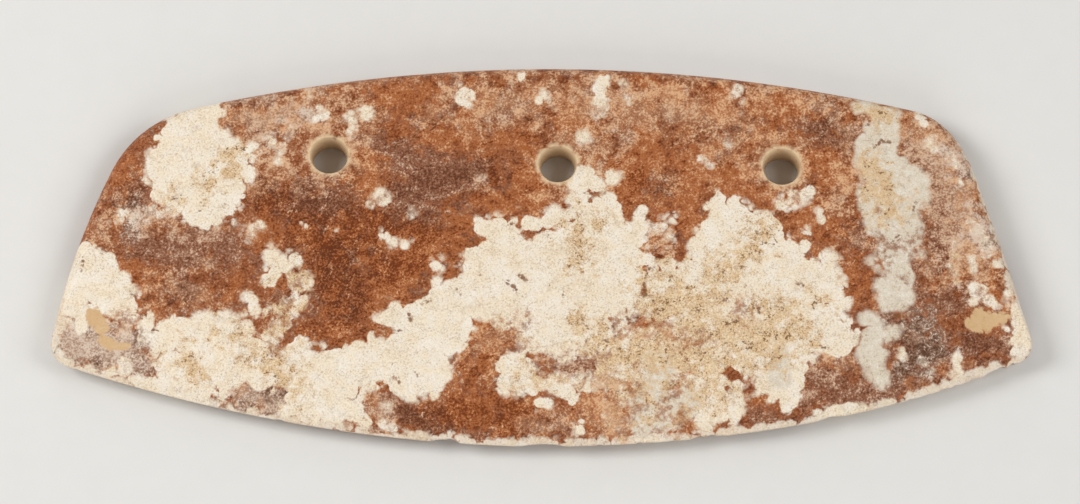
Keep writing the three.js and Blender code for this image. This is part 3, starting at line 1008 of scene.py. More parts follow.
    def _store_patches(self, mesh: bpy.types.Mesh) -> None:
        """Stores each kind of patch on the mesh as a distance in millimetres, more than zero inside it.

        The patches lean as they run down through the stone, and drift on their way to the underside.

        Args:
            mesh: The blade's mesh.
        """
        places = mesh_places(mesh)
        flat, height = places[:, :2], places[:, 2]
        x, y = flat.T
        depth = np.clip(1 - 2 * height / self.thickness, 0, 1)
        veins = flat.copy()
        veins[:, 1] -= (self.thickness - height) * self.vein_lean
        veins[:, 0] += depth * self.drift_along * np.sin(x / self.along_waves[0] + y / self.along_waves[1])
        veins[:, 1] += depth * self.drift_across * np.sin(x / self.across_wave + self.across_phase)
        fields = {}
        for layer, chains in PATCHES.items():
            fields[layer] = -np.min([chain_distance(veins, chain) for chain in chains], axis=0)
        fields[Layer.DEPOSIT] -= depth * self.field_limit
        inlet = fields.pop(Layer.INLET)
        for layer in (Layer.CREAM, Layer.GREY):
            fields[layer] = np.minimum(fields[layer], -inlet)
        edge_wear = self.wear_reach - self.outline.distance(flat, True)
        fields[Layer.WEAR_AND_HIGHLIGHT] = np.maximum(fields[Layer.WEAR_AND_HIGHLIGHT], edge_wear)
        from_hole = np.min([np.hypot(*(flat - centre).T) for centre in self.holes], axis=0)
        fields[Layer.BORE] = self.hole.reach - from_hole
        for layer, values in fields.items():
            stored = mesh.attributes.new(layer.value, "FLOAT", "POINT")
            limited = np.clip(values, -self.field_limit, self.field_limit)
            stored.data.foreach_set("value", limited.astype(np.float32))


class Graph:
    """A node tree being built, with short ways to add nodes and link them."""

    # The Mix node's colour sockets, which share their names with its other sockets.
    MIX_FIRST, MIX_SECOND, MIX_RESULT = 6, 7, 2
    # The middle that noise swings about, and how steeply domes fall, so that neighbours meet in clefts.
    NOISE_MIDDLE = 0.5
    DOME_FALL = 1.35

    def __init__(self, tree: bpy.types.NodeTree) -> None:
        """Takes over a node tree and clears it."""
        self.tree = tree
        self.tree.nodes.clear()

    def feed(self, socket: Socket, value: object) -> None:
        """Links a socket into an input, or sets the input to a constant.

        Args:
            socket: The input.
            value: The socket or the constant.
        """
        if isinstance(value, Socket):
            self.tree.links.new(value, socket)
        else:
            socket.default_value = value

    def add(self, kind: str, inputs: Inputs, **settings: object) -> bpy.types.Node:
        """Adds a node.

        Args:
            kind: Kind of node.
            inputs: What its inputs take, by name or number.
            settings: Its properties.

        Returns:
            The node.
        """
        node = self.tree.nodes.new(kind)
        for key, value in settings.items():
            setattr(node, key, value)
        for key, value in inputs.items():
            self.feed(node.inputs[key], value)
        return node

    def math(self, operation: str, first: Given, second: Given = 0.0, clamp: bool = False) -> Socket:
        """Works out a number from one or two others."""
        inputs = {0: first, 1: second}
        return self.add("ShaderNodeMath", inputs, operation=operation, use_clamp=clamp).outputs[0]

    def vector(self, operation: str, inputs: Inputs) -> Socket:
        """Works out a vector from others."""
        return self.add("ShaderNodeVectorMath", inputs, operation=operation).outputs[0]

    def plus(self, first: Given, second: Given) -> Socket:
        """Adds two numbers."""
        return self.math("ADD", first, second)

    def minus(self, first: Given, second: Given) -> Socket:
        """Takes the second number from the first."""
        return self.math("SUBTRACT", first, second)

    def times(self, first: Given, second: Given) -> Socket:
        """Multiplies two numbers."""
        return self.math("MULTIPLY", first, second)

    def largest(self, *values: Given) -> Socket:
        """Picks the largest number."""
        return reduce(partial(self.math, "MAXIMUM"), values)

    def raised(self, value: Given, mask: Socket, amount: float) -> Socket:
        """Raises a number by an amount where a mask is."""
        return self.plus(value, self.times(mask, amount))

    def span(self, value: Given, low: Given, high: Given, least: Given = 0.0, most: Given = 1.0) -> Socket:
        """Eases a number from between low and high into between least and most."""
        inputs = dict(enumerate((value, low, high, least, most)))
        return self.add("ShaderNodeMapRange", inputs, interpolation_type="SMOOTHSTEP").outputs[0]

    def mix(self, share: Given, first: Colour, second: Colour) -> Socket:
        """Mixes a share of the second colour into the first."""
        inputs = {0: share, self.MIX_FIRST: first, self.MIX_SECOND: second}
        return self.add("ShaderNodeMix", inputs, data_type="RGBA").outputs[self.MIX_RESULT]

    def noise(self, place: Socket, size: Given, noise: Noise = Noise.SMOOTH) -> Socket:
        """Adds cloudy noise around one half.

        Args:
            place: Where it is read.
            size: About how large its features are, in the units of the place.
            noise: How rough it is.

        Returns:
            The noise.
        """
        detail, roughness = noise.value
        scale = self.math("DIVIDE", 1.0, size)
        inputs = {"Vector": place, "Scale": scale, "Detail": detail, "Roughness": roughness}
        return self.add("ShaderNodeTexNoise", inputs).outputs[0]

    def swing(self, place: Socket, size: Given, noise: Noise) -> Socket:
        """Adds cloudy noise that rises and falls about zero."""
        return self.minus(self.noise(place, size, noise), self.NOISE_MIDDLE)

    def warped(self, place: Socket, size: float, reach: float) -> Socket:
        """Bends a pattern out of shape.

        Args:
            place: Where it is read.
            size: Size of the bends.
            reach: How far a point is moved, at the most.

        Returns:
            The place to read the pattern at.
        """
        noise = self.add("ShaderNodeTexNoise", {"Vector": place, "Scale": 1 / size}).outputs["Color"]
        centred = self.vector("SUBTRACT", {0: noise, 1: (self.NOISE_MIDDLE,) * 3})
        return self.vector("MULTIPLY_ADD", {0: centred, 1: (2 * reach,) * 3, 2: place})

    def stretched(self, place: Socket, bed: Bed) -> Socket:
        """Draws a pattern out along one direction.

        Args:
            place: Where it is read.
            bed: How it is drawn out.

        Returns:
            The place to read the pattern at.
        """
        turn, ratio = bed.value
        inputs = {"Vector": place, "Rotation": (0, 0, math.radians(turn)), "Scale": (ratio, 1, 1)}
        return self.add("ShaderNodeMapping", inputs, vector_type="TEXTURE").outputs[0]

    def cells(self, place: Socket, size: Given, feature: str = "F1") -> Socket:
        """Adds cells, and gives the distance from their centres or edges as a share of their size."""
        inputs = {"Vector": place, "Scale": self.math("DIVIDE", 1.0, size)}
        return self.add("ShaderNodeTexVoronoi", inputs, feature=feature).outputs["Distance"]

    def domes(self, place: Socket, size: Given) -> Socket:
        """Adds round lumps side by side, one high at their tops and nothing in the clefts between them."""
        across = self.times(self.cells(place, size), self.DOME_FALL)
        return self.math("SQRT", self.math("SUBTRACT", 1.0, self.times(across, across), clamp=True))

    def stored(self, layer: Layer) -> Socket:
        """Reads how far inside one kind of patch the place lies."""
        return self.add("ShaderNodeAttribute", {}, attribute_name=layer.value).outputs["Fac"]

    def object_place(self) -> Socket:
        """Reads the place on a piece in millimetres."""
        place = self.add("ShaderNodeTexCoord", {}).outputs["Object"]
        return self.vector("SCALE", {0: place, "Scale": 1 / MM})

    def group(self, tree: bpy.types.NodeTree, **given: object) -> Socket:
        """Places a node group, whose inputs are given by their names in lower case."""
        inputs = {key.capitalize(): value for key, value in given.items()}
        return self.add("ShaderNodeGroup", inputs, node_tree=tree).outputs[0]


def node_group(
    name: str, inputs: dict[str, Kind], output: str, kind: Kind, tree_type: str = "ShaderNodeTree"
) -> tuple[Graph, dict[str, Socket], Socket]:
    """Starts a node group.

    Args:
        name: Name of the group.
        inputs: Kind of socket of each named input.
        output: Name of its one output.
        kind: Kind of socket of that output.
        tree_type: Kind of node tree.

    Returns:
        The group's graph, its inputs by name and the socket that takes its result.
    """
    graph = Graph(bpy.data.node_groups.new(name, tree_type))
    interface = graph.tree.interface
    for key, given_kind in inputs.items():
        interface.new_socket(name=key, in_out="INPUT", socket_type=given_kind.value)
    interface.new_socket(name=output, in_out="OUTPUT", socket_type=kind.value)
    entry, leave = graph.add("NodeGroupInput", {}), graph.add("NodeGroupOutput", {})
    return graph, {socket.name: socket for socket in entry.outputs if socket.name}, leave.inputs[0]


def new_material(name: str) -> tuple[bpy.types.Material, Graph, bpy.types.Node]:
    """Starts a material.

    Args:
        name: Name of the material.

    Returns:
        The material, its graph and its shader.
    """
    made = bpy.data.materials.new(name)
    made.use_nodes = True
    graph = Graph(made.node_tree)
    shader = graph.add("ShaderNodeBsdfPrincipled", {})
    graph.add("ShaderNodeOutputMaterial", {"Surface": shader.outputs[0]})
    return made, graph, shader


class StoneEffects:
    """The node groups that the finishes share. Places and sizes in them are in millimetres."""

    # Lobed patches: the height at which large and fine domes leave the edge in place, and the size and
    # strength of the fine domes and of the fray beside the large domes.
    LARGE_LEVEL, FINE_LEVEL = 0.55, 0.6
    FINE_SIZE, FINE_STRENGTH = 0.42, 0.3
    FRAY_SIZE, FRAY_STRENGTH = 0.3, 0.35
    # Clouds: how far their fray reaches, in depths.
    CLOUD_REACH = 5.0
    # Crystals: the size and strength of their wide noise, and the levels between which they turn middling
    # and pale.
    WIDE_SIZE, WIDE_STRENGTH = 4.0, 6.0
    MIDDLE_LEVELS = (-2.8, 0.2)
    PALE_LEVELS = (0.0, 4.5)
    # Flecks: the noise level above which they show at no cover and at full cover, and how wide their edge is.
    FLECK_LEVELS = (0.78, 0.3)
    FLECK_EDGE = 0.12
    # Wisps: the size of their clusters, in their own sizes, and the noise levels between which one starts.
    CLUSTER_SIZE = 1.6
    CLUSTER_LEVELS = (0.5, 0.62)

    def __init__(self) -> None:
        """Builds each group once."""
        self.patch = self._patch()
        self.cloud = self._cloud()
        self.crystals = self._crystals()
        self.flecks = self._flecks()
        self.wisps = self._wisps()
        self.grain = self._grain()

    @staticmethod
    def _start(name: str, output: str, *numbers: str) -> tuple[Graph, dict[str, Socket], Socket]:
        """Starts a group that takes a place and some numbers, and gives a number."""
        inputs = {"Place": Kind.VECTOR} | {key: Kind.NUMBER for key in numbers}
        return node_group(name, inputs, output, Kind.NUMBER)

    @staticmethod
    def _mask(graph: Graph, given: dict[str, Socket], ragged: Socket) -> Socket:
        """Turns a patch's distance into a mask, with a ragged edge of the depth and softness given."""
        reached = graph.plus(given["Distance"], graph.times(ragged, given["Depth"]))
        return graph.span(reached, graph.times(given["Softness"], -1.0), given["Softness"])

    def _patch(self) -> bpy.types.NodeTree:
        """Builds a patch with a lobed edge and sharp notches between the lobes.

        Returns:
            The group, which takes the distance stored on the mesh.
        """
        graph, given, result = self._start("lobed_patch", "Mask", "Distance", "Lobe", "Depth", "Softness")
        place, lobe = given["Place"], given["Lobe"]
        large = graph.minus(graph.domes(place, lobe), self.LARGE_LEVEL)
        fine = graph.minus(graph.domes(place, graph.times(lobe, self.FINE_SIZE)), self.FINE_LEVEL)
        fray = graph.swing(place, graph.times(lobe, self.FRAY_SIZE), Noise.SMOOTH)
        ragged = graph.raised(graph.raised(large, fine, self.FINE_STRENGTH), fray, self.FRAY_STRENGTH)
        graph.feed(result, self._mask(graph, given, ragged))
        return graph.tree

    def _cloud(self) -> bpy.types.NodeTree:
        """Builds a soft zone that frays at every size.

        Returns:
            The group, which takes the distance stored on the mesh.
        """
        graph, given, result = self._start("frayed_cloud", "Mask", "Distance", "Size", "Depth", "Softness")
        fray = graph.swing(given["Place"], given["Size"], Noise.FRAYED)
        graph.feed(result, self._mask(graph, given, graph.times(fray, self.CLOUD_REACH)))
        return graph.tree

    def _crystals(self) -> bpy.types.NodeTree:
        """Builds a close mixture of dark, middling and pale grains.

        Returns:
            The group, whose colour is paler as it is lifted.
        """
        inputs = {"Place": Kind.VECTOR}
        inputs |= {key: Kind.NUMBER for key in ("Size", "Contrast", "Lift")}
        inputs |= {key: Kind.COLOUR for key in ("Dark", "Middle", "Pale")}
        graph, given, result = node_group("crystal_mixture", inputs, "Colour", Kind.COLOUR)
        place, size = given["Place"], given["Size"]
        fine = graph.times(graph.swing(place, size, Noise.GRITTY), given["Contrast"])
        wide = graph.swing(place, graph.times(size, self.WIDE_SIZE), Noise.ROUGH)
        level = graph.plus(graph.raised(fine, wide, self.WIDE_STRENGTH), given["Lift"])
        colour = graph.mix(graph.span(level, *self.MIDDLE_LEVELS), given["Dark"], given["Middle"])
        graph.feed(result, graph.mix(graph.span(level, *self.PALE_LEVELS), colour, given["Pale"]))
        return graph.tree

    def _flecks(self) -> bpy.types.NodeTree:
        """Builds scattered flecks of about one size.

        Returns:
            The group, whose flecks cover a share of the surface.
        """
        graph, given, result = self._start("flecks", "Mask", "Size", "Cover")
        floor = graph.span(given["Cover"], 0.0, 1.0, *self.FLECK_LEVELS)
        noise = graph.noise(given["Place"], given["Size"])
        graph.feed(result, graph.span(noise, floor, graph.plus(floor, self.FLECK_EDGE)))
        return graph.tree

    def _wisps(self) -> bpy.types.NodeTree:
        """Builds short, thin, wandering threads.

        Returns:
            The group, whose threads come and go in clusters.
        """
        graph, given, result = self._start("wisps", "Mask", "Size", "Width")
        from_ridge = graph.math("ABSOLUTE", graph.swing(given["Place"], given["Size"], Noise.ROUGH))
        thread = graph.span(from_ridge, 0.0, given["Width"], 1.0, 0.0)
        cluster = graph.noise(given["Place"], graph.times(given["Size"], self.CLUSTER_SIZE), Noise.PLAIN)
        graph.feed(result, graph.times(thread, graph.span(cluster, *self.CLUSTER_LEVELS)))
        return graph.tree

    def _grain(self) -> bpy.types.NodeTree:
        """Builds the fine grain of a ground surface.

        Returns:
            The group, whose height is around one half.
        """
        graph, given, result = self._start("ground_grain", "Height", "Size")
        graph.feed(result, graph.noise(given["Place"], given["Size"], Noise.PLAIN))
        return graph.tree


@dataclass(frozen=True)
class Tint:
    """One kind of stone as the screen colours of its dark, middling and pale grains."""

    dark: Rgb
    middle: Rgb
    pale: Rgb

    def colours(self) -> list[Colour]:
        """The three colours as shader sockets take them."""
        return [linear_colour(colour) for colour in (self.dark, self.middle, self.pale)]


@dataclass(frozen=True)
class Lobes:
    """The lobed edge of a patch: the size of the lobes, how far they reach and how soft the edge is."""

    size: float
    depth: float
    softness: Given


@dataclass(frozen=True)
class Zone:
    """A soft zone: the size of its fray, how far that reaches, its softness, its lift and its film."""

    size: float
    depth: float
    softness: float
    lift: float = 0.0
    film: float = 0.0


@dataclass(frozen=True)
class Blotches:
    """Cloudy blotches: their size and noise, the levels between which they rise, and from what to what."""

    size: float
    noise: Noise
    low: float
    high: float
    least: float = 0.0
    most: float = 1.0
    bed: Bed = Bed.EVEN


@dataclass(frozen=True)
class Marks:
    """Fine threads or specks: their size, the threads' width or the specks' cover, and how much they lift."""

    size: float
    share: float
    lift: float
    bed: Bed = Bed.EVEN


# How each kind of patch breaks up at its edge, in millimetres, and what soft zones do to the grains in them.
# A lift makes grains paler, or darker if it is less than zero, and a film is the share of a pale film over
# them.
LOBES = {
    Layer.GREY: Lobes(4.5, 2.2, 0.9),
    Layer.WEAR_AND_HIGHLIGHT: Lobes(2.4, 1.6, 0.5),
    Layer.CRACK: Lobes(0.9, 0.7, 0.3),
    Layer.DEPOSIT: Lobes(1.5, 0.9, 0.35),
    Layer.BORE: Lobes(2.0, 0.8, 0.9),
}
ZONES = {
    Layer.VEIL: Zone(4.0, 5.0, 3.0, lift=1.1, film=0.2),
    Layer.BLOOM: Zone(4.0, 5.0, 2.5, lift=1.0, film=0.18),
    Layer.DARK: Zone(5.0, 5.0, 2.5, lift=-1.6),
    Layer.SMOKE: Zone(5.0, 5.0, 2.5),
    Layer.PURPLE: Zone(5.0, 7.0, 2.5),
    Layer.RUST: Zone(5.0, 7.0, 2.5),
    Layer.OCHRE: Zone(2.4, 7.0, 3.0),
    Layer.THIN: Zone(1.5, 4.0, 2.0),
    Layer.PORES: Zone(2.0, 3.0, 1.5),
}


@dataclass(frozen=True)
class StoneFinish:
    """The mottled stone's colours, as seen on screen, and its surface. Sizes are in millimetres."""

    brown: Tint = Tint((94, 43, 12), (146, 84, 48), (220, 180, 144))
    purple: Tint = Tint((94, 50, 26), (136, 88, 63), (212, 180, 154))
    rust: Tint = Tint((110, 50, 12), (163, 95, 52), (221, 174, 131))
    smoke: Tint = Tint((88, 57, 40), (135, 102, 82), (218, 202, 186))
    cream: Tint = Tint((202, 180, 152), (231, 219, 200), (240, 233, 221))
    warm_cream: Tint = Tint((196, 166, 128), (226, 205, 173), (238, 225, 203))
    ochre: Tint = Tint((146, 104, 64), (206, 174, 133), (232, 208, 172))
    grey: Tint = Tint((164, 140, 114), (212, 199, 178), (231, 224, 211))
    deposit: Tint = Tint((186, 148, 104), (205, 169, 126), (218, 188, 150))
    haze: Rgb = (202, 160, 124)
    dust: Rgb = (197, 164, 137)
    pinhole: Rgb = (104, 66, 34)
    crack: Rgb = (122, 76, 44)
    bored: Rgb = (222, 194, 156)
    # Painted shade: the darker colour deep inside the holes' walls.
    bore_shade: Rgb = (184, 154, 118)

    # The size of the grains, how strongly they differ, and how much paler the pale stone and the deposit are.
    brown_grain: float = 0.5
    pale_grain: float = 0.4
    calm_contrast: float = 8.5
    rough_contrast: float = 12.0
    dark_contrast: float = 2.5
    cream_contrast: float = 17.0
    grey_contrast: float = 9.0
    deposit_contrast: float = 6.0
    pale_lift: float = 0.7
    deposit_lift: float = 0.4

    # Cloudy changes over the stone. The mottles are a size and how strongly they lift.
    mottle: tuple[float, float] = (5.0, 4.0)
    fine_mottle: tuple[float, float] = (1.8, 2.8)
    rust_streaks: Blotches = Blotches(3.0, Noise.ROUGH, 0.5, 0.6, 0.0, 0.85, Bed.ALONG)
    purple_tinge: Blotches = Blotches(3.2, Noise.RICH, 0.38, 0.48, 0.85, 0.0)
    warm_tinge: Blotches = Blotches(3.2, Noise.RICH, 0.4, 0.6, 0.0, 0.7)
    ochre_gaps: Blotches = Blotches(1.8, Noise.ROUGH, 0.36, 0.6, 0.8, 1.0)

    # Fine marks in the brown stone. Scratches show in full in the dark zones, and the net in the smoky ones.
    scratches: Marks = Marks(1.4, 0.04, 2.8, Bed.ALONG)
    scratch_share: float = 0.4
    net: Marks = Marks(1.5, 0.05, 3.6)
    dark_threads: Marks = Marks(2.0, 0.04, -2.4, Bed.ACROSS)
    pale_threads: Marks = Marks(2.6, 0.035, 1.8)
    dark_specks: Marks = Marks(0.7, 0.24, -1.8)
    pale_specks: Marks = Marks(0.8, 0.24, 2.2, Bed.ACROSS)

    # The edges of the pale patches: the size and reach of their lobes, how soft they are from place to place,
    # how all patches sway, the paler halo about them, and how much worn places (partly a painted highlight up
    # the sides), thin places and cracked places show.
    cream_lobe: float = 2.6
    cream_depth: float = 1.8
    cream_softness: Blotches = Blotches(8.0, Noise.SMOOTH, 0.42, 0.62, 0.35, 0.95)
    sway: tuple[float, float] = (3.5, 1.2)
    halo: Lobes = Lobes(2.6, 2.2, 1.2)
    halo_swell: float = 0.9
    halo_lift: float = 0.7
    wear_and_highlight_strength: float = 0.85
    thinness: float = 0.75
    crack_strength: float = 0.88

    # Pinholes and fine seams in the pale stone: how they sway, how much pinholes cover in the ochre, in the
    # porous zones and in clusters, and the size and strength of both.
    pore_sway: tuple[float, float] = (1.2, 0.5)
    ochre_cover: float = 0.58
    porous_cover: float = 0.6
    cluster_cover: Blotches = Blotches(5.0, Noise.ROUGH, 0.56, 0.66, 0.0, 0.36)
    cover_gaps: Blotches = Blotches(2.6, Noise.SMOOTH, 0.38, 0.6, 0.3, 1.0)
    pinhole_size: float = 0.55
    pinhole_strength: float = 0.8
    seam_spacing: float = 2.4
    seam_width: float = 0.12
    seam_strength: Blotches = Blotches(3.0, Noise.SMOOTH, 0.5, 0.66, 0.0, 0.16)

    # The painted shade in the holes' walls starts this far inside their lips and is full this far inside.
    bore_shade_reach: tuple[float, float] = (0.4, 0.9)

    # The ground surface: its gloss, and the size and height of its grain.
    roughness: float = 0.52
    roughness_swing: float = 0.08
    specular: float = 0.2
    grain_size: float = 0.5
    grain_levels: tuple[float, float] = (0.2, 0.8)
    bump_strength: float = 0.25
    bump_height: float = 0.05

    def material(self, name: str, effects: StoneEffects) -> bpy.types.Material:
        """Builds the stone's material.

        Args:
            name: Name of the material.
            effects: The node groups that it uses.

        Returns:
            The material.
        """
        made, graph, shader = new_material(name)
        place = graph.object_place()
        graph.feed(shader.inputs["Base Color"], StonePaint(graph, effects, self, place).colour())
        grain = graph.group(effects.grain, place=place, size=self.grain_size)
        dullest, glossiest = self.roughness + self.roughness_swing, self.roughness - self.roughness_swing
        graph.feed(shader.inputs["Roughness"], graph.span(grain, *self.grain_levels, dullest, glossiest))
        shader.inputs["Specular IOR Level"].default_value = self.specular
        raised = {"Strength": self.bump_strength, "Distance": self.bump_height * MM, "Height": grain}
        graph.feed(shader.inputs["Normal"], graph.add("ShaderNodeBump", raised).outputs[0])
        return made


class StonePaint:
    """The stone's layers of colour, laid over one another in a material's graph."""

    def __init__(self, graph: Graph, effects: StoneEffects, finish: StoneFinish, place: Socket) -> None:
        """Lays out what several layers share.

        Args:
            graph: The material's graph.
            effects: The node groups that it uses.
            finish: The stone's colours and sizes.
            place: The place on the blade in millimetres.
        """
        self.graph = graph
        self.effects = effects
        self.finish = finish
        self.place = place
        self.swayed = graph.warped(place, *finish.sway)
        self.beds = {bed: graph.stretched(place, bed) for bed in Bed}
        self.zones = {layer: self._zone(layer, zone) for layer, zone in ZONES.items()}
        self.mottle = self._mottle(*finish.mottle)
        self.grey = self._patch(Layer.GREY)
        self.ochre = graph.times(self.zones[Layer.OCHRE], self._blotches(finish.ochre_gaps))

    def colour(self) -> Socket:
        """Lays all the layers over one another.

        Returns:
            The colour of the stone.
        """
        graph, finish = self.graph, self.finish
        colour = graph.mix(self._pale_mask(), self._brown_stone(), self._pale_stone())
        cracked = graph.times(self._patch(Layer.CRACK), finish.crack_strength)
        colour = graph.mix(cracked, colour, linear_colour(finish.crack))
        lift = graph.plus(self.mottle, finish.deposit_lift)
        deposit = self._grains(finish.pale_grain, finish.deposit_contrast, lift, finish.deposit.colours())
        colour = graph.mix(self._patch(Layer.DEPOSIT), colour, deposit)
        # Painted shade: each hole's wall darkens from its tan lip towards the middle of its depth.
        bore_shade_mask = graph.span(graph.stored(Layer.BORE), *finish.bore_shade_reach)
        bored = graph.mix(bore_shade_mask, linear_colour(finish.bored), linear_colour(finish.bore_shade))
        return graph.mix(self._patch(Layer.BORE), colour, bored)

    def _brown_stone(self) -> Socket:
        """Mixes the brown stone and lays its pale film over it.

        Returns:
            Its colour.
        """
        graph, finish, zones = self.graph, self.finish, self.zones
        tint = self._blend(self._blotches(finish.rust_streaks), finish.brown.colours(), finish.rust)
        tint = self._blend(self._blotches(finish.purple_tinge), tint, finish.purple)
        tint = self._blend(zones[Layer.PURPLE], tint, finish.purple)
        tint = self._blend(zones[Layer.RUST], tint, finish.rust)
        tint = self._blend(zones[Layer.SMOKE], tint, finish.smoke)
        rough_zones = (Layer.VEIL, Layer.PURPLE, Layer.DARK, Layer.SMOKE)
        rough = graph.largest(*(zones[layer] for layer in rough_zones))
        contrast = graph.span(rough, 0.0, 1.0, finish.calm_contrast, finish.rough_contrast)
        contrast = graph.raised(contrast, zones[Layer.DARK], finish.dark_contrast)
        stone = self._grains(finish.brown_grain, contrast, self._lift(), tint)
        film_colour = graph.mix(zones[Layer.SMOKE], linear_colour(finish.haze), linear_colour(finish.dust))
        film = 0.0
        for layer in (Layer.VEIL, Layer.BLOOM):
            film = graph.raised(film, zones[layer], ZONES[layer].film)
        return graph.mix(film, stone, film_colour)

    def _lift(self) -> Socket:
        """Works out how much paler or darker the grains of the brown stone are.

        Returns:
            Their lift.
        """
        graph, finish, zones = self.graph, self.finish, self.zones
        lift = graph.plus(self.mottle, self._mottle(*finish.fine_mottle))
        for layer in (Layer.VEIL, Layer.BLOOM, Layer.DARK):
            lift = graph.raised(lift, zones[layer], ZONES[layer].lift)
        halo = self._lobed(graph.plus(graph.stored(Layer.CREAM), finish.halo_swell), finish.halo)
        lift = graph.raised(lift, halo, finish.halo_lift)
        scratched = graph.span(zones[Layer.DARK], 0.0, 1.0, finish.scratch_share, 1.0)
        scratches = graph.times(self._threads(finish.scratches), scratched)
        lift = graph.raised(lift, scratches, finish.scratches.lift)
        net = graph.times(self._threads(finish.net), zones[Layer.SMOKE])
        lift = graph.raised(lift, net, finish.net.lift)
        for marks in (finish.dark_threads, finish.pale_threads):
            lift = graph.raised(lift, self._threads(marks), marks.lift)
        for marks in (finish.dark_specks, finish.pale_specks):
            lift = graph.raised(lift, self._specks(marks), marks.lift)
        return lift

    def _pale_mask(self) -> Socket:
        """Joins the cream, grey and worn patches, the worn ones partly a painted highlight up the sides.

        Returns:
            Their mask, weaker where the pale stone is thin.
        """
        graph, finish = self.graph, self.finish
        lobes = Lobes(finish.cream_lobe, finish.cream_depth, self._blotches(finish.cream_softness))
        cream = self._lobed(graph.stored(Layer.CREAM), lobes)
        # Worn edges, partly a painted highlight up the sides.
        worn_and_lit = graph.times(self._patch(Layer.WEAR_AND_HIGHLIGHT), finish.wear_and_highlight_strength)
        thin = graph.times(self.zones[Layer.THIN], finish.thinness)
        return graph.times(graph.largest(cream, self.grey, worn_and_lit), graph.minus(1.0, thin))

    def _pale_stone(self) -> Socket:
        """Mixes the pale stone, with its pinholes and seams.

        Returns:
            Its colour.
        """
        graph, finish = self.graph, self.finish
        tint = self._blend(self._blotches(finish.warm_tinge), finish.cream.colours(), finish.warm_cream)
        tint = self._blend(self.ochre, self._blend(self.grey, tint, finish.grey), finish.ochre)
        contrast = graph.span(self.grey, 0.0, 1.0, finish.cream_contrast, finish.grey_contrast)
        lift = graph.plus(self.mottle, finish.pale_lift)
        stone = self._grains(finish.pale_grain, contrast, lift, tint)
        bent = graph.warped(self.place, *finish.pore_sway)
        cover = graph.largest(
            graph.times(self.ochre, finish.ochre_cover),
            self._blotches(finish.cluster_cover),
            graph.times(self.zones[Layer.PORES], finish.porous_cover),
        )
        cover = graph.times(cover, self._blotches(finish.cover_gaps))
        pinholes = graph.group(self.effects.flecks, place=bent, size=finish.pinhole_size, cover=cover)
        edges = graph.cells(bent, finish.seam_spacing, "DISTANCE_TO_EDGE")
        seams = graph.span(edges, 0.0, finish.seam_width, 1.0, 0.0)
        seams = graph.times(seams, self._blotches(finish.seam_strength))
        pores = graph.largest(graph.times(pinholes, finish.pinhole_strength), seams)
        return graph.mix(pores, stone, linear_colour(finish.pinhole))

    def _patch(self, layer: Layer) -> Socket:
        """The mask of one kind of patch."""
        return self._lobed(self.graph.stored(layer), LOBES[layer])

    def _lobed(self, distance: Socket, lobes: Lobes) -> Socket:
        """The mask of a lobed patch, from how far inside it the place lies."""
        given = {"distance": distance, "lobe": lobes.size, "depth": lobes.depth}
        return self.graph.group(self.effects.patch, place=self.swayed, softness=lobes.softness, **given)

    def _zone(self, layer: Layer, zone: Zone) -> Socket:
        """The mask of a soft zone."""
        given = {"distance": self.graph.stored(layer), "size": zone.size, "depth": zone.depth}
        return self.graph.group(self.effects.cloud, place=self.place, softness=zone.softness, **given)

    def _mottle(self, size: float, amount: float) -> Socket:
        """A cloudy rise and fall about zero."""
        return self.graph.times(self.graph.swing(self.place, size, Noise.ROUGH), amount)

    def _blotches(self, blotches: Blotches) -> Socket:
        """The value of cloudy blotches."""
        noise = self.graph.noise(self.beds[blotches.bed], blotches.size, blotches.noise)
        return self.graph.span(noise, blotches.low, blotches.high, blotches.least, blotches.most)

    def _threads(self, marks: Marks) -> Socket:
        """The mask of fine threads."""
        place = self.beds[marks.bed]
        return self.graph.group(self.effects.wisps, place=place, size=marks.size, width=marks.share)

    def _specks(self, marks: Marks) -> Socket:
        """The mask of fine specks."""
        place = self.beds[marks.bed]
        return self.graph.group(self.effects.flecks, place=place, size=marks.size, cover=marks.share)

    def _blend(self, share: Socket, first: list[Colour], second: Tint) -> list[Colour]:
        """Turns one kind of stone into another."""
        return [self.graph.mix(share, one, other) for one, other in zip(first, second.colours())]

    def _grains(self, size: float, contrast: Given, lift: Socket, tint: list[Colour]) -> Socket:
        """The grains of one kind of stone."""
        given = dict(zip(("dark", "middle", "pale"), tint)) | {"size": size, "contrast": contrast}
        return self.graph.group(self.effects.crystals, place=self.place, lift=lift, **given)


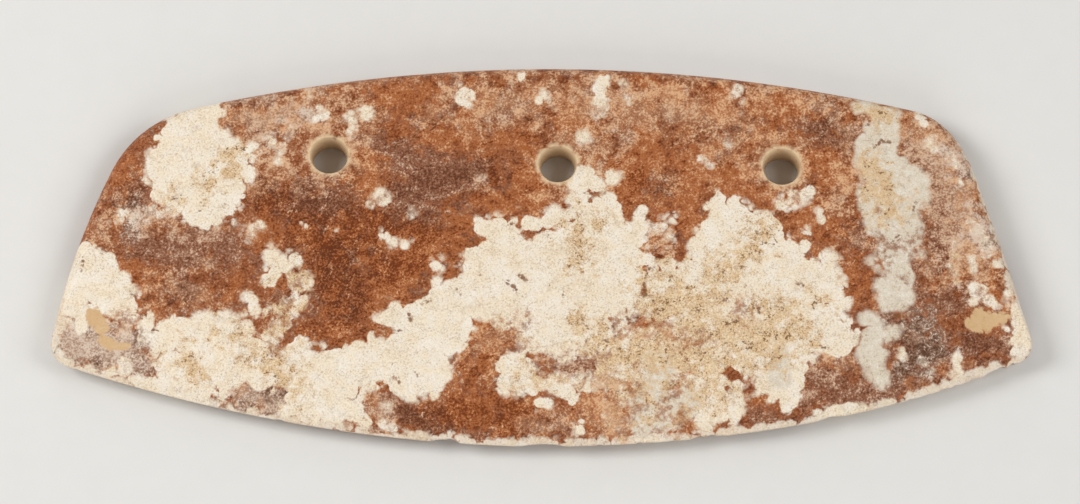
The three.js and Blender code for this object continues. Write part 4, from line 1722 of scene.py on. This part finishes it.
@dataclass
class Pitting:
    """Shallow pits pressed into both faces by a Geometry Nodes tree, in millimetres."""

    per_square_mm: float = 0.006
    radius: float = 1.6
    depth: float = 0.07
    seed: int = 11

    def apply(self, blade: bpy.types.Object, stone: bpy.types.Material) -> None:
        """Presses the pits into a blade and gives it its stone.

        Args:
            blade: The blade, whose mesh is replaced by a plain one.
            stone: The material of the whole blade.
        """
        tree = self._tree()
        modifier = blade.modifiers.new("pitting", "NODES")
        modifier.node_group = tree
        values = {
            "Pits per square metre": self.per_square_mm / MM**2,
            "Pit radius": self.radius * MM,
            "Pit depth": self.depth * MM,
            "Seed": self.seed,
            "Stone": stone,
        }
        for socket in tree.interface.items_tree:
            if socket.in_out == "INPUT" and socket.name in values:
                modifier[socket.identifier] = values[socket.name]
        evaluated = blade.evaluated_get(bpy.context.evaluated_depsgraph_get())
        mesh = bpy.data.meshes.new_from_object(evaluated)
        blade.modifiers.clear()
        blade.data = mesh
        mesh.name = blade.name

    @staticmethod
    def _tree() -> bpy.types.NodeTree:
        """Builds the tree: scattered points, and a dimple in the mesh about each of them.

        Returns:
            The tree.
        """
        inputs = {
            "Blade": Kind.GEOMETRY,
            "Pits per square metre": Kind.NUMBER,
            "Pit radius": Kind.NUMBER,
            "Pit depth": Kind.NUMBER,
            "Seed": Kind.INTEGER,
            "Stone": Kind.MATERIAL,
        }
        graph, given, result = node_group(
            "pitted_stone", inputs, "Pitted blade", Kind.GEOMETRY, "GeometryNodeTree"
        )
        blade, density = given["Blade"], given["Pits per square metre"]
        scattered = {"Mesh": blade, "Density": density, "Seed": given["Seed"]}
        points = graph.add("GeometryNodeDistributePointsOnFaces", scattered).outputs["Points"]
        near = graph.add("GeometryNodeProximity", {0: points}, target_element="POINTS")
        dimple = graph.span(near.outputs["Distance"], 0.0, given["Pit radius"], 1.0, 0.0)
        depth = graph.times(graph.times(dimple, given["Pit depth"]), -1.0)
        normal = graph.add("GeometryNodeInputNormal", {}).outputs[0]
        offset = graph.vector("SCALE", {0: normal, "Scale": depth})
        pressed = graph.add("GeometryNodeSetPosition", {"Geometry": blade, "Offset": offset}).outputs[0]
        realized = graph.add("GeometryNodeRealizeInstances", {0: pressed}).outputs[0]
        stone = {"Geometry": realized, "Material": given["Stone"]}
        graph.feed(result, graph.add("GeometryNodeSetMaterial", stone).outputs[0])
        return graph.tree


@dataclass(frozen=True)
class FloorFinish:
    """The pale, matt studio floor, with a faint grain in millimetres."""

    colour: Rgb = (222, 220, 216)
    shaded: Rgb = (218, 216, 212)
    grain_size: float = 6.0
    roughness: float = 0.9

    def material(self, name: str, effects: StoneEffects) -> bpy.types.Material:
        """Builds the floor's material.

        Args:
            name: Name of the material.
            effects: The node groups that it uses.

        Returns:
            The material.
        """
        made, graph, shader = new_material(name)
        grain = graph.group(effects.grain, place=graph.object_place(), size=self.grain_size)
        shade = graph.mix(grain, linear_colour(self.colour), linear_colour(self.shaded))
        graph.feed(shader.inputs["Base Color"], shade)
        shader.inputs["Roughness"].default_value = self.roughness
        return made


@dataclass(frozen=True)
class SoftLight:
    """A square studio light that faces the blade, in metres and watts."""

    name: str
    place: tuple[float, float, float]
    side: float
    watts: float

    def build(self) -> None:
        """Adds the light to the scene."""
        light = bpy.data.lights.new(self.name, "AREA")
        light.size = self.side
        light.energy = self.watts
        lamp = linked_object(self.name, light)
        lamp.location = self.place
        lamp.rotation_euler = looking(-Vector(self.place))


@dataclass
class Studio:
    """The floor, the lights and the camera, in metres, degrees and millimetres of film."""

    floor_side: float = 6.0
    sky: float = 0.2
    elevation: float = 72.0
    distance: float = 1.0057
    frame_width: float = 0.2438
    target: tuple[float, float, float] = (-0.00034, 0.00093, 0.004)
    sensor: float = 36.0
    lights: tuple[SoftLight, ...] = (
        SoftLight("key_light", (-0.95, 0.2, 0.8), 0.6, 10.5),
        SoftLight("fill_light", (0.95, 0.0, 0.85), 0.8, 7.0),
        SoftLight("front_light", (0.1, -1.1, 0.6), 0.8, 6.0),
        SoftLight("back_light", (-0.1, 1.1, 0.5), 0.8, 2.5),
    )

    def build(self, floor_finish: bpy.types.Material) -> None:
        """Builds the whole studio.

        Args:
            floor_finish: The material of the floor.
        """
        self._floor(floor_finish)
        for light in self.lights:
            light.build()
        self._sky()
        self._camera()
        bpy.context.scene.view_settings.view_transform = "Standard"
        log.info("studio: floor, %d lights and camera", len(self.lights))

    def _floor(self, finish: bpy.types.Material) -> None:
        """Lays the floor under the blade.

        Args:
            finish: Its material.
        """
        half = self.floor_side / 2
        mesh = bpy.data.meshes.new("studio_floor")
        corners = [(-half, -half, 0), (half, -half, 0), (half, half, 0), (-half, half, 0)]
        mesh.from_pydata(corners, [], [(0, 1, 2, 3)])
        mesh.materials.append(finish)
        floor = linked_object("studio_floor", mesh)

    def _sky(self) -> None:
        """Sets an even, colourless sky."""
        world = bpy.data.worlds.new("studio_sky")
        world.use_nodes = True
        background = world.node_tree.nodes["Background"]
        background.inputs["Color"].default_value = (1, 1, 1, 1)
        background.inputs["Strength"].default_value = self.sky
        bpy.context.scene.world = world

    def _camera(self) -> None:
        """Stands the camera in front of the blade, looking steeply down."""
        lift = math.radians(self.elevation)
        back = Vector((0, -math.cos(lift), math.sin(lift)))
        data = bpy.data.cameras.new("camera")
        data.sensor_width = self.sensor
        data.lens = self.sensor * self.distance / self.frame_width
        camera = linked_object("camera", data)
        camera.location = Vector(self.target) + back * self.distance
        camera.rotation_euler = looking(-back)
        bpy.context.scene.camera = camera


def main() -> None:
    """Builds the studio and the blade in order."""
    logging.basicConfig(level=logging.INFO, format="%(message)s")
    effects = StoneEffects()
    Studio().build(FloorFinish().material("studio_floor", effects))
    blade = StoneBlade().build()
    Pitting().apply(blade, StoneFinish().material("mottled_stone", effects))
    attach(blade, "root")
    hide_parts("stone_blade")
    log.info("dressed %s", blade.name)


if __name__ == "__main__":
    main()
